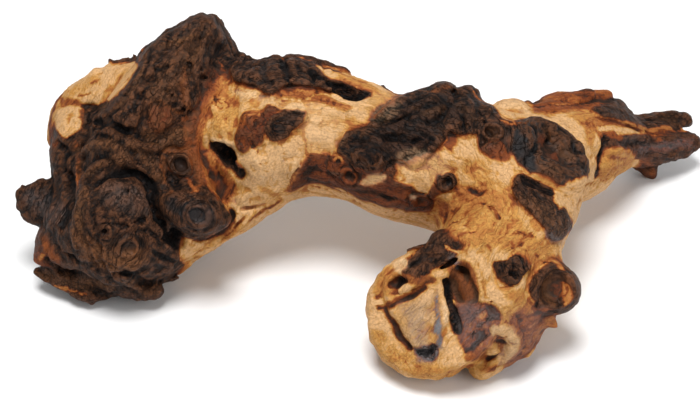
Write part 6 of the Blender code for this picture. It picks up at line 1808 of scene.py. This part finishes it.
def dress(mesh, root, paint):
    """Writes on the mesh what its material reads: tone, stains, the depth of the creases, which the
    material paints as shade and uses for wear on the bumps, and grain.
    """
    points, normals, edges = mesh_arrays(mesh)
    _, tone = root.fields(points)
    tone, stains = paint.lay(points, tone)
    flows, shares = grain_flow(points, edges, root.knots)
    # How deep each point lies in fine creases and in broad hollows, for the painted shade there.
    smooth = smooth_over(points, edges, FINE_ROUNDS)
    fine = ((smooth - points) * normals).sum(axis=1)
    smoother = smooth_over(smooth, edges, WIDE_ROUNDS)
    wide = ((smoother - smooth) * normals).sum(axis=1)
    add_values(mesh, "tone", "FLOAT", tone)
    add_values(mesh, "stains", "FLOAT_COLOR", np.stack(list(stains.values()), axis=1))
    add_values(mesh, "creases", "FLOAT_VECTOR", np.stack([fine, wide, np.zeros(len(fine))], axis=1))
    add_values(mesh, "grain_share", "FLOAT_VECTOR", shares.T)
    for number, flow in enumerate(flows):
        add_values(mesh, f"grain_{number}", "FLOAT_VECTOR", flow)


class Shading:
    """Short ways to add the nodes of a material."""

    def __init__(self, name):
        self.material = bpy.data.materials.new(name)
        self.material.use_nodes = True
        self.tree = self.material.node_tree
        self.shader = self.tree.nodes["Principled BSDF"]

    def node(self, kind, settings, *values):
        """A node with these settings, its inputs joined to sockets or set to numbers."""
        node = self.tree.nodes.new(kind)
        for name, value in settings.items():
            setattr(node, name, value)
        for number, value in enumerate(values):
            self.put(node.inputs[number], value)
        return node

    def put(self, socket, value):
        if isinstance(value, bpy.types.NodeSocket):
            self.tree.links.new(value, socket)
        elif value is not None:
            socket.default_value = value

    def read(self, name, part="Fac"):
        return self.node("ShaderNodeAttribute", {"attribute_name": name}).outputs[part]

    def split(self, vector):
        return self.node("ShaderNodeSeparateXYZ", {}, vector).outputs

    def math(self, kind, *values):
        return self.node("ShaderNodeMath", {"operation": kind}, *values).outputs[0]

    def noise(self, vector, scale, detail=4.0, rough=0.55):
        node = self.node("ShaderNodeTexNoise", {}, vector, None, scale, detail, rough)
        return node.outputs["Fac"]

    def spread(self, value, low, high, start=0.0, end=1.0):
        """The value brought from one range to another, kept inside it."""
        settings = {"interpolation_type": "SMOOTHSTEP"}
        return self.node("ShaderNodeMapRange", settings, value, low, high, start, end).outputs[0]

    def mix(self, share, first, second, kind="MIX"):
        node = self.tree.nodes.new("ShaderNodeMix")
        node.data_type = "RGBA"
        node.blend_type = kind
        self.put(node.inputs[0], share)
        self.put(node.inputs[6], first)
        self.put(node.inputs[7], second)
        return node.outputs[2]

    def ramp(self, value, stops):
        node = self.node("ShaderNodeValToRGB", {}, value)
        band = node.color_ramp.elements
        while len(band) < len(stops):
            band.new(0.5)
        for element, (place, colour) in zip(band, stops):
            element.position = place
            element.color = (*colour, 1.0)
        return node.outputs[0]


TONES = (
    (0.00, (0.60, 0.35, 0.160)),
    (0.14, (0.48, 0.235, 0.055)),
    (0.26, (0.37, 0.135, 0.032)),
    (0.37, (0.24, 0.060, 0.013)),
    (0.50, (0.115, 0.026, 0.008)),
    (0.62, (0.055, 0.020, 0.010)),
    (0.77, (0.026, 0.014, 0.009)),
    (1.00, (0.004, 0.003, 0.003)),
)
TONE_RANGE = 1.3


def wood_look():
    """Dry wood: pale sapwood with grain, orange and red where it turns to dark folded heartwood."""
    s = Shading("dry root wood")
    tone = s.read("tone")
    stains = s.node("ShaderNodeSeparateColor", {}, s.read("stains", "Color")).outputs
    cream = s.read("stains", "Alpha")
    fine, wide, _ = s.split(s.read("creases", "Vector"))
    shares = s.split(s.read("grain_share", "Vector"))
    place = s.node("ShaderNodeTexCoord", {}).outputs["Object"]
    grain = [s.read(f"grain_{number}", "Vector") for number in range(3)]

    def streaks(scale, detail, rough):
        total = None
        for share, flow in zip(shares, grain):
            part = s.math("MULTIPLY", share, s.noise(flow, scale, detail, rough))
            total = part if total is None else s.math("ADD", total, part)
        return total

    broad = streaks(0.22, 3.0, 0.5)
    thin = streaks(0.9, 5.0, 0.65)
    patches = s.noise(place, 55.0, 3.0, 0.5)
    specks = s.noise(place, 900.0, 3.0, 0.6)
    line = s.math("ABSOLUTE", s.math("SUBTRACT", streaks(0.36, 3.0, 0.5), 0.5))
    veins = s.spread(line, 0.03, 0.0)
    crack = s.math("ABSOLUTE", s.math("SUBTRACT", s.noise(place, 190.0, 4.0, 0.6), 0.5))
    cracks = s.math("MULTIPLY", s.spread(crack, 0.025, 0.0), 0.6)

    level = s.math("MULTIPLY_ADD", veins, VEIN_SWING, tone)
    for part, amount in ((broad, BROAD_SWING), (thin, THIN_SWING), (patches, PATCH_SWING)):
        level = s.math("ADD", level, s.math("MULTIPLY_ADD", part, amount, -amount / 2))
    # Painted shade: the broad hollows and the fine creases are painted darker.
    for crease_shade in (s.spread(wide, 0.0, 1.2), s.spread(fine, 0.02, 0.25)):
        level = s.math("MULTIPLY_ADD", crease_shade, CREASE_SHADE_SWING, level)
    base = s.ramp(s.math("DIVIDE", level, TONE_RANGE), TONES)

    dark = s.spread(tone, 0.5, 0.8)
    worn = s.math("MULTIPLY", s.spread(fine, -0.02, -0.2), 0.5)
    brown = s.math("ADD", s.math("MULTIPLY", s.spread(thin, 0.46, 0.66), 0.55), worn)
    brown = s.math("MULTIPLY", s.math("MULTIPLY", brown, dark), s.spread(tone, 1.3, 1.05))
    base = s.mix(brown, base, WORN_BROWN)
    loose = s.math("ADD", s.math("MULTIPLY", thin, 0.6), s.math("MULTIPLY", patches, 0.4))
    hold = s.spread(loose, 0.36, 0.6, 0.2, 1.0)
    for amount, colour in zip((*stains[:3], cream), STAIN_COLOURS.values()):
        base = s.mix(s.math("MULTIPLY", amount, hold), base, colour)
    gap = s.math("MULTIPLY", s.math("MAXIMUM", cracks, veins), dark)
    base = s.mix(s.math("MULTIPLY", gap, 0.65), base, GAP_BLACK)
    shade = s.spread(specks, 0.3, 0.7, 0.8, 1.14)
    shade = s.node("ShaderNodeCombineColor", {}, shade, shade, shade).outputs[0]
    base = s.mix(1.0, base, shade, "MULTIPLY")
    s.put(s.shader.inputs["Base Color"], base)

    rough = s.math("MULTIPLY_ADD", dark, -0.10, 0.62)
    rough = s.math("ADD", rough, s.math("MULTIPLY_ADD", patches, 0.24, -0.12))
    s.put(s.shader.inputs["Roughness"], rough)
    s.shader.inputs["Specular IOR Level"].default_value = WOOD_GLOSS

    height = s.math("MULTIPLY", gap, -0.9)
    height = s.math("ADD", height, s.math("MULTIPLY", thin, s.spread(dark, 0.0, 1.0, 0.5, 1.1)))
    height = s.math("ADD", height, s.math("MULTIPLY", specks, 0.16))
    height = s.math("ADD", height, s.math("MULTIPLY", veins, -0.2))
    bump = s.node("ShaderNodeBump", {})
    bump.inputs["Distance"].default_value = BUMP_DEPTH
    bump.inputs["Strength"].default_value = BUMP_SHARE
    s.put(bump.inputs["Height"], height)
    s.put(s.shader.inputs["Normal"], bump.outputs["Normal"])
    return s.material


def floor_look():
    s = Shading("pale floor")
    s.shader.inputs["Base Color"].default_value = FLOOR_COLOUR
    s.shader.inputs["Roughness"].default_value = FLOOR_ROUGHNESS
    s.shader.inputs["Specular IOR Level"].default_value = FLOOR_GLOSS
    return s.material


def add_piece(mesh):
    mesh.materials.clear()
    mesh.materials.append(wood_look())
    mesh.shade_smooth()
    piece = bpy.data.objects.new(PIECE, mesh)
    piece.location = TO_MIDDLE * MM
    bpy.context.scene.collection.objects.link(piece)
    return piece


def add_floor():
    mesh = bpy.data.meshes.new("floor")
    corners = ((-1, -1), (1, -1), (1, 1), (-1, 1))
    mesh.from_pydata([(FLOOR_HALF * x, FLOOR_HALF * y, 0) for x, y in corners], [], [(0, 1, 2, 3)])
    mesh.materials.append(floor_look())
    floor = bpy.data.objects.new("floor", mesh)
    floor.location.z = -FLOOR_DROP
    bpy.context.scene.collection.objects.link(floor)
    return floor


def add_light(name, place, size, power):
    """A round soft light at a place, turned to the middle of the root."""
    light = bpy.data.lights.new(name, "AREA")
    light.shape = "DISK"
    light.size = size
    light.energy = power
    lamp = bpy.data.objects.new(name, light)
    lamp.location = place
    away = np.array(place) - np.array(LIGHT_AIM)
    lamp.rotation_euler = (
        math.atan2(math.hypot(away[0], away[1]), away[2]), 0, math.atan2(away[0], -away[1]),
    )
    bpy.context.scene.collection.objects.link(lamp)


def add_camera():
    """The camera stands where the front view is written down from."""
    lens = bpy.data.cameras.new("camera")
    lens.sensor_width = SENSOR_WIDTH
    lens.lens = SENSOR_WIDTH * VIEW_DISTANCE / PICTURE_WIDTH
    camera = bpy.data.objects.new("camera", lens)
    camera.location = (FRONT.eye + TO_MIDDLE) * MM
    camera.rotation_euler = (math.radians(90 - VIEW_ELEVATION), 0, 0)
    bpy.context.scene.collection.objects.link(camera)
    bpy.context.scene.camera = camera


def add_studio():
    """Soft lights in a white room."""
    for light in LIGHTS:
        add_light(*light)
    world = bpy.data.worlds.new("studio")
    world.use_nodes = True
    background = world.node_tree.nodes["Background"]
    background.inputs["Color"].default_value = STUDIO_COLOUR
    background.inputs["Strength"].default_value = STUDIO_LIGHT
    bpy.context.scene.world = world
    bpy.context.scene.view_settings.view_transform = "Standard"


def main():
    root = shape_root(DressedRoot())
    paint = Paint()
    paint_front(paint)
    paint_behind(paint)
    paint.settle(root)
    mesh = dressed_mesh(root)
    dress(mesh, root, paint)
    piece = add_piece(mesh)
    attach(piece, "root")
    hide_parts("root")
    add_floor()
    add_studio()
    add_camera()


main()
